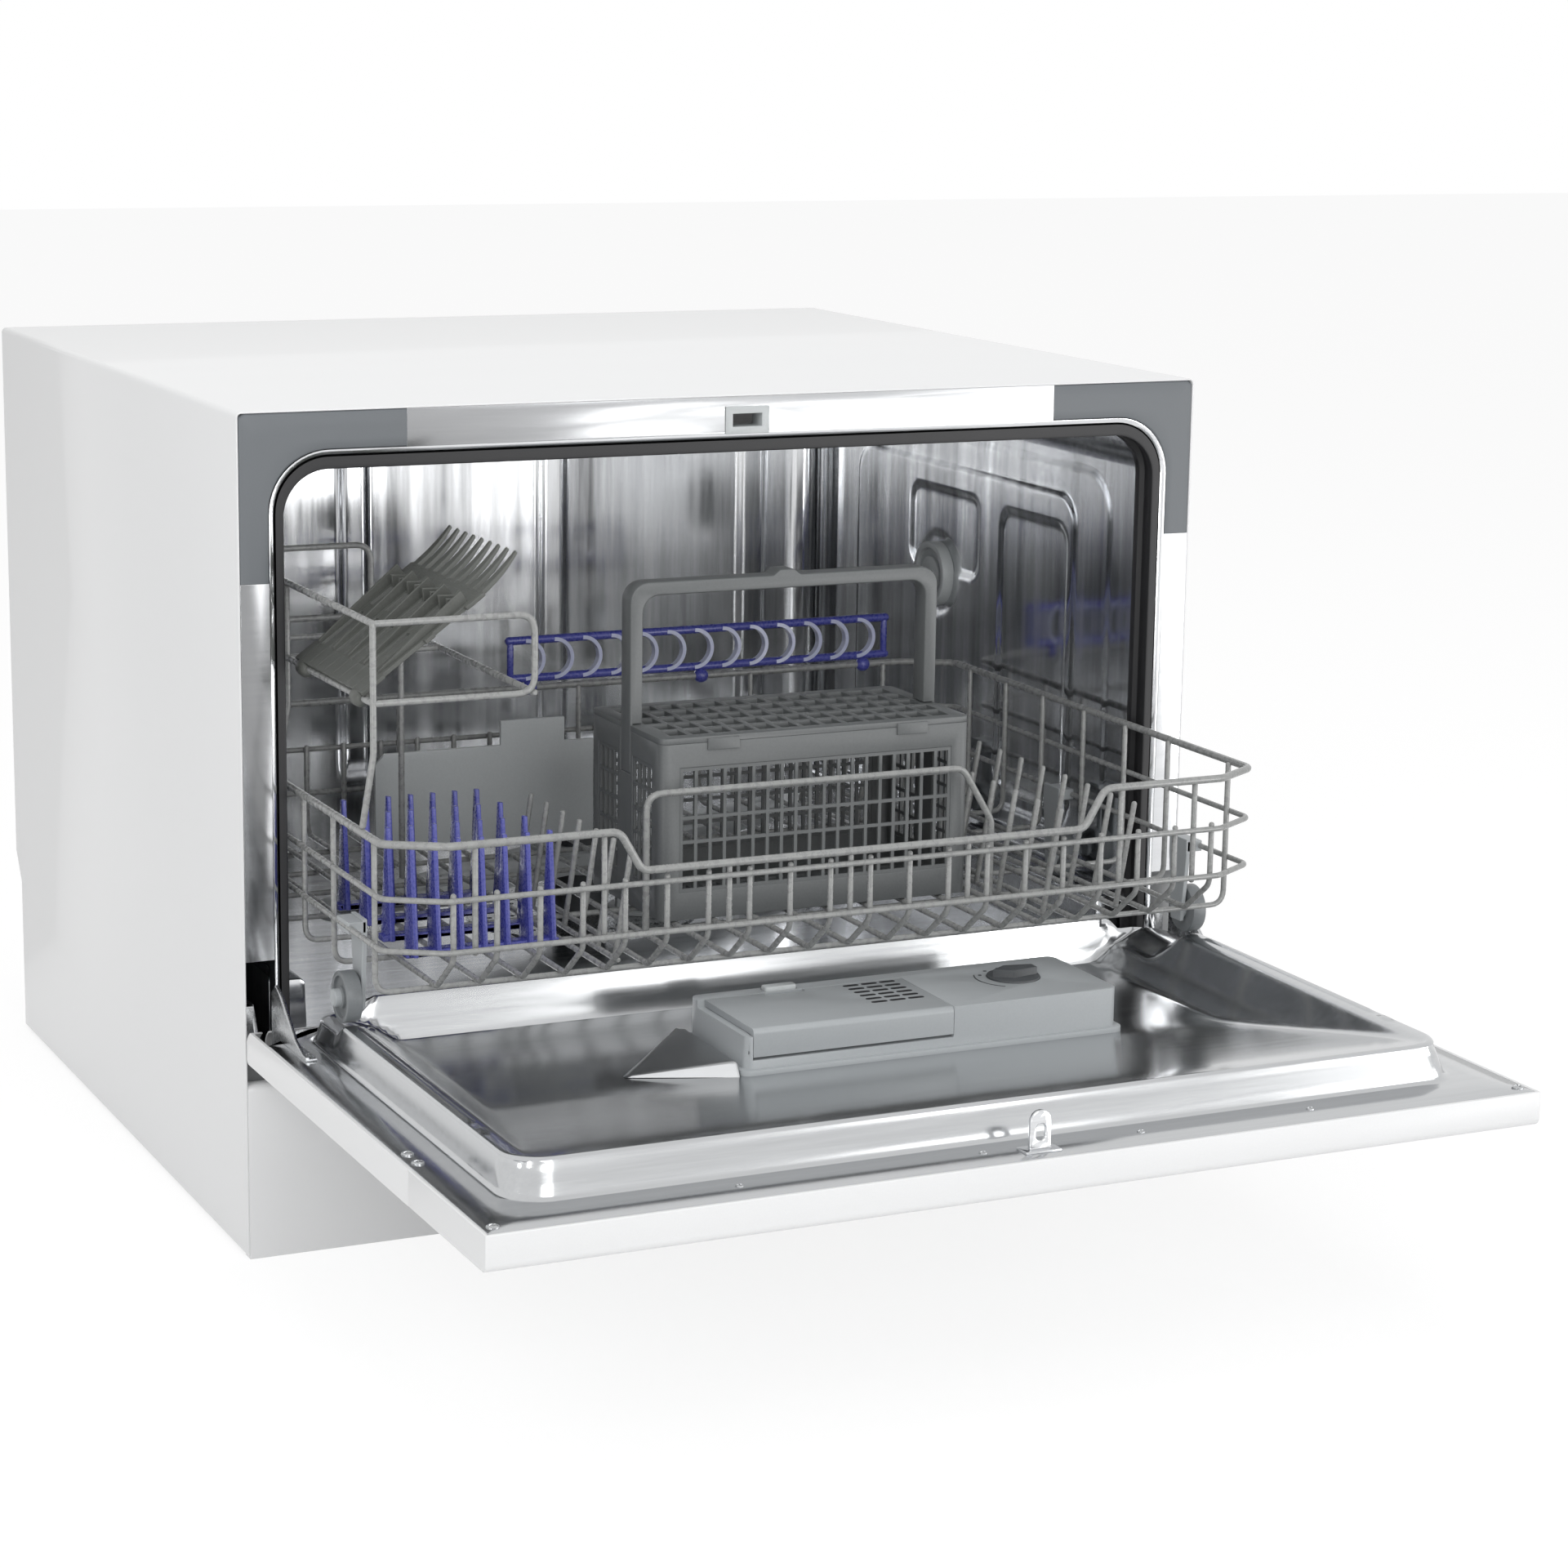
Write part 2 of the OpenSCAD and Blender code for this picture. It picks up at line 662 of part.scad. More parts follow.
// One pressing: flange, rim, and a dish that falls from the front rim to the dispenser's foot
module door_liner() {
    z = door_top_z;
    top = rim_top_z;
    t = flange_t;
    foot_r = 20;
    crest_r = 19;
    foot = [-foot_x, rim_front_y, foot_x, rim_rear_y];
    crest = [-foot_x + rim_draft, rim_front_y + 6, foot_x - rim_draft, rim_rear_y - rim_draft];
    dish_low_x = crest[2] - 4.5 * dish_wall;
    dish_low = [-dish_low_x, disp_front_y - 7, dish_low_x, rim_rear_y - 11];
    dish_high = [crest[0] + dish_wall, crest[1] + 6.4, crest[2] - dish_wall, rim_rear_y - 6];
    function grow(box, g) = [box[0] - g, box[1] - g, box[2] + g, box[3] + g];
    flange_x = side_x - door_wall;
    flange_rear = axis_y + sqrt(pow(swing_r - skin_t, 2) - pow(z - axis_z, 2)) - 0.1;
    dip_x = dish_high[2] - 16;
    bead_w = 2.4;
    bead_x = crest[2] - dish_wall / 2 + 0.8;
    bead_front_y = rim_front_y + 68.4;
    dot_y = bead_front_y - 14;
    ramp_x = disp_x - disp_w / 2 - foot_lip - fit;
    ramp_h = 7.5;
    color(steel) difference() {
        union() {
            difference() {
                block(-flange_x, door_front_y + door_wall, z - t, flange_x, flange_rear, z);
                loft(z - 2 * t, grow(foot, -t), crest_r, z + 2, grow(foot, -t - 0.26), crest_r);
            }
            difference() {
                union() {
                    difference() {
                        loft(z - t, foot, foot_r, top, crest, crest_r);
                        difference() {
                            loft(z - 2 * t, grow(foot, -t), crest_r, top - t, grow(crest, -t), crest_r - t);
                            wheel_dip(t, dip_x - t);
                        }
                    }
                    intersection() {
                        loft(dish_z - t, grow(dish_low, t), crest_r - 4, top, grow(dish_high, t), crest_r);
                        block(-foot_x, rim_front_y, 0, foot_x, rim_rear_y, top);
                    }
                }
                wheel_dip(0, dip_x);
            }
            both_sides() {
                block(bead_x - bead_w / 2, bead_front_y, top - t / 2, bead_x + bead_w / 2,
                    dip_full_y - 13, top + t);
                translate([bead_x, dot_y, top - t / 2]) cylinder(h = t * 1.5, r = bead_w, $fn = 24);
            }
        }
        loft(dish_z, dish_low, crest_r - 5, top + 0.5, dish_high, crest_r - 0.5);
        both_sides() block(hinge_x - fit, axis_y - 16.5, z - 2 * t, hinge_x + 2 * hinge_t + 1 + 2 * fit,
            axis_y + 10, z + through);
    }
    color(steel) hull() {
        along_z(dish_z - t / 2, dish_z + t) polygon([[ramp_x - 55, disp_front_y + 20],
            [ramp_x, disp_front_y - 2], [ramp_x, disp_rear_y + 2]]);
        along_z(dish_z, dish_z + ramp_h) polygon([[ramp_x - 4, disp_front_y + 4],
            [ramp_x, disp_front_y + 2], [ramp_x, disp_rear_y - 2], [ramp_x - 4, disp_rear_y - 4]]);
    }
}

module latch_hook() {
    w = 11;
    t = 2.5;
    h = 19.5;
    color(steel) {
        along_y(hook_y - t / 2, hook_y + t / 2) difference() {
            polygon(concat([[slot_x - w / 2, door_top_z], [slot_x + w / 2, door_top_z]],
                arc([slot_x, door_top_z + h - w / 2], w / 2, 0, 180, 8)));
            polygon(rounded(slot_x - 2.5, door_top_z + 5, slot_x + 2.5, door_top_z + 13, 2));
        }
        block(slot_x - w / 2 - 4, hook_y - 5, door_top_z, slot_x + w / 2 + 4, hook_y + 5, door_top_z + 1.2);
    }
}

// Dispenser

cap_x = disp_x + disp_w / 2 - 40;
cap_y = disp_rear_y - 30;
cap_r = 14;
lid_x0 = disp_x - disp_w / 2 + 4;
lid_x1 = lid_x0 + lid_l;
lid_t = 3.5;
lid_pin_y = disp_front_y + 4;
lip_room = 5;
lid_pin_z = disp_z - 12;
release_x = lid_x0 + 44;
release_y = disp_rear_y - 5;

module dispenser_body() {
    z0 = dish_z;
    x0 = disp_x - disp_w / 2;
    x1 = disp_x + disp_w / 2;
    sunk = disp_z - lid_t - fit;
    color(grey) difference() {
        union() {
            along_z(z0, disp_z) polygon(rounded(x0, disp_front_y, x1, disp_rear_y, 5));
            along_z(z0, z0 + foot_lip) polygon(rounded(x0 - foot_lip, disp_front_y - foot_lip,
                x1 + foot_lip,
                disp_rear_y + foot_lip, 6));
        }
        block(x0 - through, disp_front_y - 5, sunk, lid_x1 + fit, disp_rear_y - 10, disp_z + through);
        block(lid_x0 - fit, disp_front_y - 5, disp_z - 16, lid_x1 + fit, disp_front_y + lip_room,
            disp_z + through);
        block(lid_x0 + 10, disp_front_y + 14, z0 + 4, lid_x1 - 14, disp_rear_y - 18, disp_z);
        translate([cap_x, cap_y, disp_z - 6]) cylinder(h = 10, r = cap_r + fit, $fn = 64);
        block(release_x - 9 - fit, release_y - 3 - fit, disp_z - 6, release_x + 9 + fit,
            release_y + 3 + fit, disp_z + 1);
        for (s = [lid_x0 - fit - 2, lid_x1 + fit - 1]) rod_x(s, s + 3, lid_pin_y - 1.8, lid_pin_z,
            1.3 + pin_play);
    }
}

module detergent_lid() {
    z1 = disp_z;
    color(grey) {
        difference() {
            along_x(lid_x0, lid_x1) polygon(concat([[disp_rear_y - 10.5, z1 - lid_t],
                [disp_rear_y - 10.5, z1]],
                arc([disp_front_y + 3, z1 - 3], 3, 90, 180), [[disp_front_y, z1 - 14.5],
                    [disp_front_y + 3.9, z1 - 14.5],
                [disp_front_y + 3.9, z1 - lid_t]]));
            block(release_x - 11, disp_rear_y - 14, z1 - 1.2, release_x + 11, disp_rear_y - 10, z1 + 1);
        }
        rod_x(lid_x0 - 1.8, lid_x0 + 1, lid_pin_y - 1.8, lid_pin_z, 1.3);
        rod_x(lid_x1 - 1, lid_x1 + 1.8, lid_pin_y - 1.8, lid_pin_z, 1.3);
    }
}

module lid_release() color(grey) along_z(disp_z - 3, disp_z + 2.2)
    polygon([for (p = rounded(-9, -3, 9, 3, 1.5, 3)) p + [release_x, release_y]]);

module rinse_cap() {
    wing = 12.5;
    color(dark) translate([cap_x, cap_y, disp_z - 6]) {
        cylinder(h = 7, r = cap_r, $fn = 64);
        translate([0, 0, 6]) linear_extrude(5) polygon([[-wing, 0], [-3, -6], [wing, -3.2], [wing,
            3.2], [-3, 6]]);
    }
}

// Rack

front_x = rack_x - chamfer_x;
ring_levels = [low_ring_z, mid_ring_z];
wheel_room = wheel_r + 11;
cross_ys = [rack_front_y + 34, front_wheel_y + wheel_room, (front_wheel_y + mid_wheel_y) / 2,
    mid_wheel_y - wheel_room, mid_wheel_y + wheel_room, (mid_wheel_y + rear_wheel_y) / 2,
        rear_wheel_y - wheel_room];
function floor_x(k) = -front_x + 4 + k * (2 * front_x - 8) / (floor_wires - 1);

module rack_floor() {
    rear = rack_rear_y - wire_d + weld;
    color(wire_grey) {
        for (k = [0:floor_wires - 1]) wire([floor_x(k), floor_y0, floor_wire_z], [floor_x(k), rear,
            floor_wire_z], wire_d);
        for (y = cross_ys) wire([-rack_x + 1, y, cross_z], [rack_x - 1, y, cross_z], wire_d);
    }
}

module rack_side() {
    y0 = rack_front_y + chamfer_y;
    y1 = rack_rear_y - chamfer_y;
    plate_x = wheel_x - wheel_w / 2 - fit - 3.5;
    wire([rack_x, y0, rail_z], [rack_x, y1, rail_z], rail_d);
    for (z = ring_levels) wire([rack_x, y0, z], [rack_x, y1, z], wire_d);
    for (y = cross_ys) wire([rack_x, y + wire_d - weld, cross_z - wire_d / 2], [rack_x,
        y + wire_d - weld, rail_z], wire_d);
    for (y = [front_wheel_y, mid_wheel_y, rear_wheel_y]) {
        along_x(plate_x, plate_x + 2.5) polygon([[y - 5, wheel_z - 6], [y + 5, wheel_z - 6], [y + 9,
            low_ring_z - 6],
            [y + 9, low_ring_z + 4], [y - 9, low_ring_z + 4], [y - 9, low_ring_z - 6]]);
        block(plate_x, y - 9, low_ring_z - 3, rack_x + 1, y + 9, low_ring_z + 3);
        rod_x(plate_x + 1, wheel_x + wheel_w / 2 + 0.4, y, wheel_z, axle_r);
        rod_x(wheel_x + wheel_w / 2 + fit, wheel_x + wheel_w / 2 + 1.5, y, wheel_z, axle_r + 1.5);
        rod_x(plate_x + 1, wheel_x - wheel_w / 2 - fit, y, wheel_z, axle_r + 2.2);
    }
}
module rack_left() color(wire_grey) mirror([1, 0, 0]) rack_side();
module rack_right() color(wire_grey) rack_side();

dip_x0 = -127;
dip_x1 = 145;
dip_h = 20.5;
dip_run = 12;

// Rings of one end wall of the rack: s is -1 for the front and 1 for the rear
module end_rings(s, y) {
    yc = y - s * chamfer_y;
    for (z = ring_levels) bent_wire([[-rack_x, yc, z], [-front_x, y, z], [front_x, y, z], [rack_x, yc,
        z]], wire_d);
}

module rack_front() {
    y = rack_front_y;
    yc = y + chamfer_y;
    color(wire_grey) {
        end_rings(-1, y);
        bent_wire([[-rack_x, yc, rail_z], [-front_x, y, rail_z], [dip_x0, y, rail_z],
            [dip_x0 + dip_run, y, rail_z - dip_h], [dip_x1 - dip_run, y, rail_z - dip_h], [dip_x1, y,
                rail_z],
            [front_x, y, rail_z], [rack_x, yc, rail_z]], rail_d);
        for (k = [0:floor_wires - 1]) along_x(floor_x(k) - bar_t / 2, floor_x(k) + bar_t / 2) polygon([
            [leg_y - bar_t / 2, mid_ring_z + 3], [leg_y - bar_t / 2, leg_bend_z], [floor_y0,
                floor_wire_z - bar_t / 2],
            [floor_y0 + 2, floor_wire_z - bar_t / 2], [floor_y0 + 2, floor_wire_z + bar_t / 2],
            [floor_y0 + 0.6, floor_wire_z + bar_t / 2], [leg_y + bar_t / 2, leg_bend_z + 1.4],
            [leg_y + bar_t / 2, mid_ring_z + 3]]);
        for (k = [0.5, 3.5, 16.5, 18.5])
            wire([floor_x(k), leg_y, low_ring_z - 3], [floor_x(k), leg_y, rail_z], wire_d);
        for (k = [6.5, 9.5, 12.5]) wire([floor_x(k), leg_y, low_ring_z - 3], [floor_x(k), leg_y,
            rail_z - dip_h], wire_d);
    }
}

module rack_rear() {
    y = rack_rear_y;
    yc = y - chamfer_y;
    leg = y - wire_d + weld;
    color(wire_grey) {
        end_rings(1, y);
        bent_wire([[-rack_x, yc, rail_z], [-front_x, y, rail_z], [front_x, y, rail_z], [rack_x, yc,
            rail_z]], rail_d);
        for (k = [0:floor_wires - 1]) wire([floor_x(k), leg, floor_wire_z - wire_d / 2], [floor_x(k),
            leg, mid_ring_z + 3], wire_d);
        for (k = [0.5, 4.5, 9.5, 14.5, 18.5])
            wire([floor_x(k), leg, low_ring_z - 3], [floor_x(k), leg, rail_z], wire_d);
    }
}

// Wheel: tyre with a hollowed outer face and a bore that runs on the axle
module rack_wheel(side, y) {
    color(grey) translate([side * wheel_x, y, wheel_z]) rotate([0, side * 90, 0]) difference() {
        translate([0, 0, -wheel_w / 2]) cylinder(h = wheel_w, r = wheel_r, $fn = 64);
        translate([0, 0, -wheel_w]) cylinder(h = 2 * wheel_w, r = axle_r + pin_play, $fn = 48);
        translate([0, 0, wheel_w / 2 - 2]) difference() {
            cylinder(h = 3, r = wheel_r - 2.5, $fn = 48);
            translate([0, 0, -through]) cylinder(h = 5, r = axle_r + 2.5, $fn = 32);
        }
    }
}
module wheel_left_front() rack_wheel(-1, front_wheel_y);
module wheel_left_mid() rack_wheel(-1, mid_wheel_y);
module wheel_left_rear() rack_wheel(-1, rear_wheel_y);
module wheel_right_front() rack_wheel(1, front_wheel_y);
module wheel_right_mid() rack_wheel(1, mid_wheel_y);
module wheel_right_rear() rack_wheel(1, rear_wheel_y);

tine_h = 58;
tine_base_z = floor_wire_z;

module tine_row(x, y0, y1, n, lean) {
    wire([x, y0 - 5, tine_base_z], [x, y1 + 5, tine_base_z], wire_d);
    for (k = [0:n - 1]) let (y = y0 + k * (y1 - y0) / (n - 1))
        wire([x, y, tine_base_z], [x + lean, y - 6, tine_base_z + tine_h], wire_d);
}

module plate_tines() {
    loop_y = basket_front_y - 12;
    loop_x0 = floor_x(6);
    loop_x1 = floor_x(15) - 18;
    rear_y = rear_wheel_y - 12;
    color(wire_grey) {
        tine_row(floor_x(15.5), rack_front_y + 42, rear_y, 13, 6);
        tine_row(floor_x(17.5), rack_front_y + 42, rear_y, 13, 6);
        tine_row(floor_x(4.5), rack_front_y + 42, rack_front_y + 178, 7, 6);
        bent_wire([[loop_x0, loop_y, floor_wire_z + wire_d / 2 - weld], [loop_x0, loop_y, rail_z - 2],
            [loop_x1, loop_y, rail_z - 2], [loop_x1 + 18, loop_y, rail_z - 32],
            [loop_x1 + 18, loop_y, floor_wire_z + wire_d / 2 - weld]], wire_d + 0.6);
    }
}

blade_rows = [-58, -23, 12, 47];
blades = 7;

module blue_tines() {
    z = floor_wire_z + wire_d / 2 - weld + 0.8;
    x0 = -206;
    x1 = -132;
    color(blue) for (y = blade_rows) {
        block(x0 - 4, y - 4, z - 0.8, x1 + 4, y + 4, z + 2.5);
        for (k = [0:blades - 1]) let (x = x0 + k * (x1 - x0) / (blades - 1))
            along_x(x - 1.25, x + 1.25) polygon([[y - 8, z], [y + 8, z], [y + 5, z + 20], [y + 1,
                z + 58], [y - 2, z + 58],
                [y - 6, z + 20]]);
    }
}

baffle_y = cross_ys[5] + 30;

module rack_baffle() {
    z0 = floor_wire_z + wire_d / 2 - weld;
    top = rail_z - 20;
    step = 14;
    x0 = -146;
    x1 = -14;
    step_x0 = -71;
    step_x1 = -32;
    color(grey) along_y(baffle_y - 4.4, baffle_y - 1.9) polygon([[x0, z0], [x1, z0], [x1, top], [step_x1, top],
        [step_x1, top + step], [step_x0, top + step], [step_x0, top], [x0 + 6, top], [x0, top - 6]]);
}

// Cup shelf on the left side rail, its comb tray and the glass holder on the rear rail

shelf_x = -rack_x + 6;

module cup_shelf_frame() {
    y0 = shelf_front_y;
    y1 = y0 + shelf_l;
    x1 = shelf_x + shelf_w;
    d = shelf_wire;
    bar_ys = [y0 + 135, y0 + 190];
    post_x = x1 - 1.2;
    post_y = bar_ys[1] + 3;
    color(wire_grey) {
        for (y = [y0, y1]) bent_wire([[shelf_x, y, shelf_top_z], [x1, y, shelf_top_z], [x1, y,
            shelf_z], [shelf_x, y, shelf_z]], d);
        for (z = [shelf_z, shelf_top_z]) wire([shelf_x, y0 - 1, z], [shelf_x, y1 + 1, z], d);
        wire([x1, y0, shelf_z], [x1, y1, shelf_z], d);
        for (y = bar_ys) wire([shelf_x, y, shelf_z], [x1 - weld, y, shelf_z], d - weld);
        for (y = [y0 + 0.5, y0 + 135, y1 - 0.5]) bent_wire([[-rack_x, y, rail_z + rail_d / 2 - 0.5],
            [shelf_x, y, shelf_z - 25], [shelf_x, y, shelf_top_z + 1]], d);
        wire([post_x, post_y, floor_wire_z + wire_d / 2 - weld], [post_x, post_y, shelf_z - weld], d);
    }
}

tray_l = 104;
tray_y0 = shelf_front_y + 10;
tray_y1 = tray_y0 + tray_l;
tray_tilt = 36;
teeth = 9;

module comb_tray() {
    t = 2.4;
    tooth = 24;
    slot = 5.2;
    pitch = (tray_y1 - tray_y0) / teeth;
    off = shelf_wire / 2 + 0.7;
    color(grey) translate([shelf_x, 0, shelf_z]) rotate([0, -tray_tilt, 0]) difference() {
        union() {
            translate([0, 0, off]) difference() {
                block(0, tray_y0, 0, tray_l, tray_y1, t);
                for (k = [0:teeth - 1]) block(tray_l - tooth, tray_y0 + pitch * k + pitch - slot, -through,
                    tray_l + through, tray_y0 + pitch * (k + 1) - 0.01, t + through);
                for (k = [0:teeth - 2]) block(16, tray_y0 + pitch * k + pitch - 3, -through,
                    tray_l - tooth - 14, tray_y0 + pitch * k + pitch + 1, t + through);
            }
            for (k = [0, 4, 8]) block(12, tray_y0 + pitch * k + 2, off + t / 2, tray_l - 6,
                tray_y0 + pitch * k + 4, off + t + 3);
            for (y = [tray_y0 + 4, tray_y1 - 16]) translate([0, y, 0]) rotate([-90, 0, 0])
                cylinder(h = 12, r = off + t, $fn = 48);
        }
        translate([0, tray_y0 - 1, 0]) rotate([-90, 0, 0]) cylinder(h = tray_l + 20,
            r = shelf_wire / 2 + pin_play, $fn = 48);
    }
}

holder_x0 = -45;
holder_x1 = 205;
holder_arcs = 13;

module glass_holder() {
    bar = 5;
    gap = 20;
    low = rail_z + rail_d / 2 + 3.7;
    high = low + gap + bar / 2;
    r = (high - low) / 2;
    pitch = (holder_x1 - holder_x0 - 16) / holder_arcs;
    clip_r = rail_d / 2 + 2.2;
    color(blue) difference() {
        union() {
            for (z = [low, high]) wire([holder_x0, rack_rear_y, z], [holder_x1, rack_rear_y, z], bar);
            wire([holder_x0 + 3, rack_rear_y, low], [holder_x0 + 3, rack_rear_y, high], bar - 1);
            wire([holder_x1 - 3, rack_rear_y, low], [holder_x1 - 3, rack_rear_y, high], bar - 1);
            for (k = [0:holder_arcs - 1]) translate([holder_x0 + 12 + pitch * k, rack_rear_y, low + r])
                rotate([90, 0, 0]) rotate([0, 0, -90]) rotate_extrude(angle = 180, $fn = 48)
                    translate([r, 0]) circle(d = 3.2, $fn = 16);
            for (x = [-30, 80, 188]) rod_x(x - 4, x + 4, rack_rear_y, rail_z, clip_r);
        }
        rod_x(holder_x0 - 20, holder_x1 + 20, rack_rear_y, rail_z, rail_d / 2 + pin_play);
    }
}

// Cutlery basket

bx0 = basket_x - basket_w / 2;
bx1 = basket_x + basket_w / 2;
by0 = basket_front_y;
by1 = basket_front_y + basket_l;
post = 11;
band_top = 16;
band_low = 15;
leg_w = 13;
handle_y = (by0 + by1) / 2;

module basket_body() {
    z0 = basket_z;
    w = basket_wall;
    win_low = z0 + band_low;
    win_top = basket_top - band_top;
    color(grey) difference() {
        along_z(z0, basket_top - 3) polygon(rounded(bx0, by0, bx1, by1, 5));
        along_z(z0 + w, basket_top) polygon(rounded(bx0 + w, by0 + w, bx1 - w, by1 - w, 3));
        block(bx0 + post, by0 - through, win_low, bx1 - post, by1 + through, win_top);
        for (s = [0, 1]) let (a = s ? handle_y + leg_w / 2 + 3 : by0 + post,
            b = s ? by1 - post : handle_y - leg_w / 2 - 3)
            block(bx0 - through, a, win_low, bx1 + through, b, win_top);
        for (x = [bx0 - through, bx1 - w + 0.8]) block(x, handle_y - leg_w / 2 - 0.1, basket_top - 26,
            x + w + through - 0.8, handle_y + leg_w / 2 + 0.1, basket_top);
        for (i = [0:8], j = [0:3]) block(bx0 + 14 + i * 18, by0 + 12 + j * 19, z0 - through,
            bx0 + 24 + i * 18,
            by0 + 24 + j * 19, z0 + w + through);
    }
}

// Lattice that fills one window, drawn from the origin
module lattice(w, h, cols, rows) {
    bar = 1.8;
    difference() {
        square([w, h]);
        for (i = [0:cols - 1], j = [0:rows - 1]) translate([bar + i * (w - bar) / cols,
            bar + j * (h - bar) / rows])
            square([(w - bar) / cols - bar, (h - bar) / rows - bar]);
    }
}

module basket_lattice() {
    t = 1.4;
    z = basket_z + band_low;
    h = basket_h - band_low - band_top;
    w = bx1 - bx0 - 2 * post;
    side_w = (basket_l - 2 * post - leg_w - 6) / 2;
    color(grey) {
        for (y = [by0 + 0.4, by1 - 0.4 - t]) translate([bx0 + post, 0, z]) along_y(y, y + t) lattice(w,
            h, 19, 5);
        for (x = [bx0 + 0.4, bx1 - 0.4 - t], s = [0, 1]) translate([0,
            s ? handle_y + leg_w / 2 + 3 : by0 + post, z])
            along_x(x, x + t) lattice(side_w, h, 4, 5);
    }
}

module basket_grid() {
    slots_x = 13;
    slots_y = 5;
    pitch_x = (basket_w - 14) / slots_x;
    pitch_y = (basket_l - 12) / slots_y;
    color(grey) {
        along_z(basket_top - 3, basket_top) difference() {
            polygon(rounded(bx0, by0, bx1, by1, 5));
            for (i = [0:slots_x - 1], j = [0:slots_y - 1])
                translate([bx0 + 8.5 + pitch_x * i + (j % 2) * 1.5, by0 + 8 + pitch_y * j])
                    square([pitch_x - 3.2, pitch_y - 4]);
            for (x = [bx0 - through, bx1 - basket_wall + 0.8]) translate([x, handle_y - leg_w / 2 - 0.1])
                square([basket_wall + through - 0.8, leg_w + 0.2]);
        }
        for (x = [bx0 + 26, bx1 - 44]) block(x, by0 - 1.2, basket_top - 7, x + 18, by0, basket_top - 1);
    }
}

module basket_handle() {
    top = basket_top + 75;
    t = 1.6;
    band = 7;
    low = basket_top - 26;
    color(grey) along_y(handle_y - leg_w / 2, handle_y + leg_w / 2) difference() {
        polygon(concat([[bx0, low]], arc([bx0 + 10, top - 10], 10, 180, 90, 5), [[basket_x - 8, top],
            [basket_x - 4, top + 3],
            [basket_x + 4, top + 3], [basket_x + 8, top]], arc([bx1 - 10, top - 10], 10, 90, 0, 5),
                [[bx1, low],
            [bx1 - t, low], [bx1 - t, basket_top + fit], [bx1 - band, basket_top + fit]],
            arc([bx1 - 16, top - 16], 9, 0, 90, 5), arc([bx0 + 16, top - 16], 9, 90, 180, 5),
            [[bx0 + band, basket_top + fit], [bx0 + t, basket_top + fit], [bx0 + t, low]]));
    }
}

cabinet_wrap();
rear_panel();
base_tray();
plinth();
feet();
tub_roof();
tub_side_left();
tub_side_right();
tub_rear();
tub_floor();
frame_corner_left();
frame_corner_right();
frame_top_strip();
frame_columns();
gasket();
latch_strike();
vent_cap();
filter_plate();
sump_pump();
water_ports();
hinge_bracket_left();
hinge_bracket_right();
spray_arm();
filter_cup();
door_panel();
control_fascia();
door_liner();
display_window();
latch_hook();
hinge_arm_left();
hinge_arm_right();
dispenser_body();
detergent_lid();
lid_release();
rinse_cap();
power_button();
program_button();
delay_button();
start_button();
rack_floor();
rack_left();
rack_right();
rack_front();
rack_rear();
plate_tines();
blue_tines();
rack_baffle();
cup_shelf_frame();
comb_tray();
glass_holder();
basket_body();
basket_lattice();
basket_grid();
basket_handle();
wheel_left_front();
wheel_left_mid();
wheel_left_rear();
wheel_right_front();
wheel_right_mid();
wheel_right_rear();
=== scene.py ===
# %% [markdown]
# # A countertop dishwasher with its door open
#
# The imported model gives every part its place. This lesson dresses it: thin pressed steel for the tub and
# the door liner, round bent wire for the rack, moulded plastic for the basket and the dispenser, and gloss
# white paint for the cabinet. Lengths are in millimetres until a mesh is made, because that is how such a
# machine is drawn, and one function turns them into metres.

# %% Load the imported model
import json
import math

import bmesh
import bpy
import numpy as np
from mathutils import Matrix, Vector

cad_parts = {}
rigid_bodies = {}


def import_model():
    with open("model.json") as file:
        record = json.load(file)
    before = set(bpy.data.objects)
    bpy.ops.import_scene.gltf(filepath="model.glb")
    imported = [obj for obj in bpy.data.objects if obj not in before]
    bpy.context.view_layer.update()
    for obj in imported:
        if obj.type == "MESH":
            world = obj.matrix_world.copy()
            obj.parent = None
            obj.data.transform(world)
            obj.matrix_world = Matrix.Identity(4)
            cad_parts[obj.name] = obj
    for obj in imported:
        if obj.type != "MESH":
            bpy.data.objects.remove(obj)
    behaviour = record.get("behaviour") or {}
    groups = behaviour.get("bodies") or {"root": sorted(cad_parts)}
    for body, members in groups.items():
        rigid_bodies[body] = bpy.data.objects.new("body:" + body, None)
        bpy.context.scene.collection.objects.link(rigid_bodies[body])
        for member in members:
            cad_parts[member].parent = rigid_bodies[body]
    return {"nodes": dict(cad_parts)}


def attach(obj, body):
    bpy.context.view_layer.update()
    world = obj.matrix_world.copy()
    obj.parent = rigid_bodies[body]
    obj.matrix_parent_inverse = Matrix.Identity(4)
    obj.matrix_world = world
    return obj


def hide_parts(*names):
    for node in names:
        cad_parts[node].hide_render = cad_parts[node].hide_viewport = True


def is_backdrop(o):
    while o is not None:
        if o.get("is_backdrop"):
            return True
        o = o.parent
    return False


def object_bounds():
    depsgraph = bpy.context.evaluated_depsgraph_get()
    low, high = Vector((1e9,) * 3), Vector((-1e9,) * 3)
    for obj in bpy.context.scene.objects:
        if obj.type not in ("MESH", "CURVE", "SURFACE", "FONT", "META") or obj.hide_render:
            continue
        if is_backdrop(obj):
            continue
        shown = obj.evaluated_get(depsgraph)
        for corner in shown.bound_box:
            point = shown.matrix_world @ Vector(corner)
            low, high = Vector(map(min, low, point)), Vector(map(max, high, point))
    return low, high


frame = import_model()
nodes = frame["nodes"]
cad_low, cad_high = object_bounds()
MM = 0.001

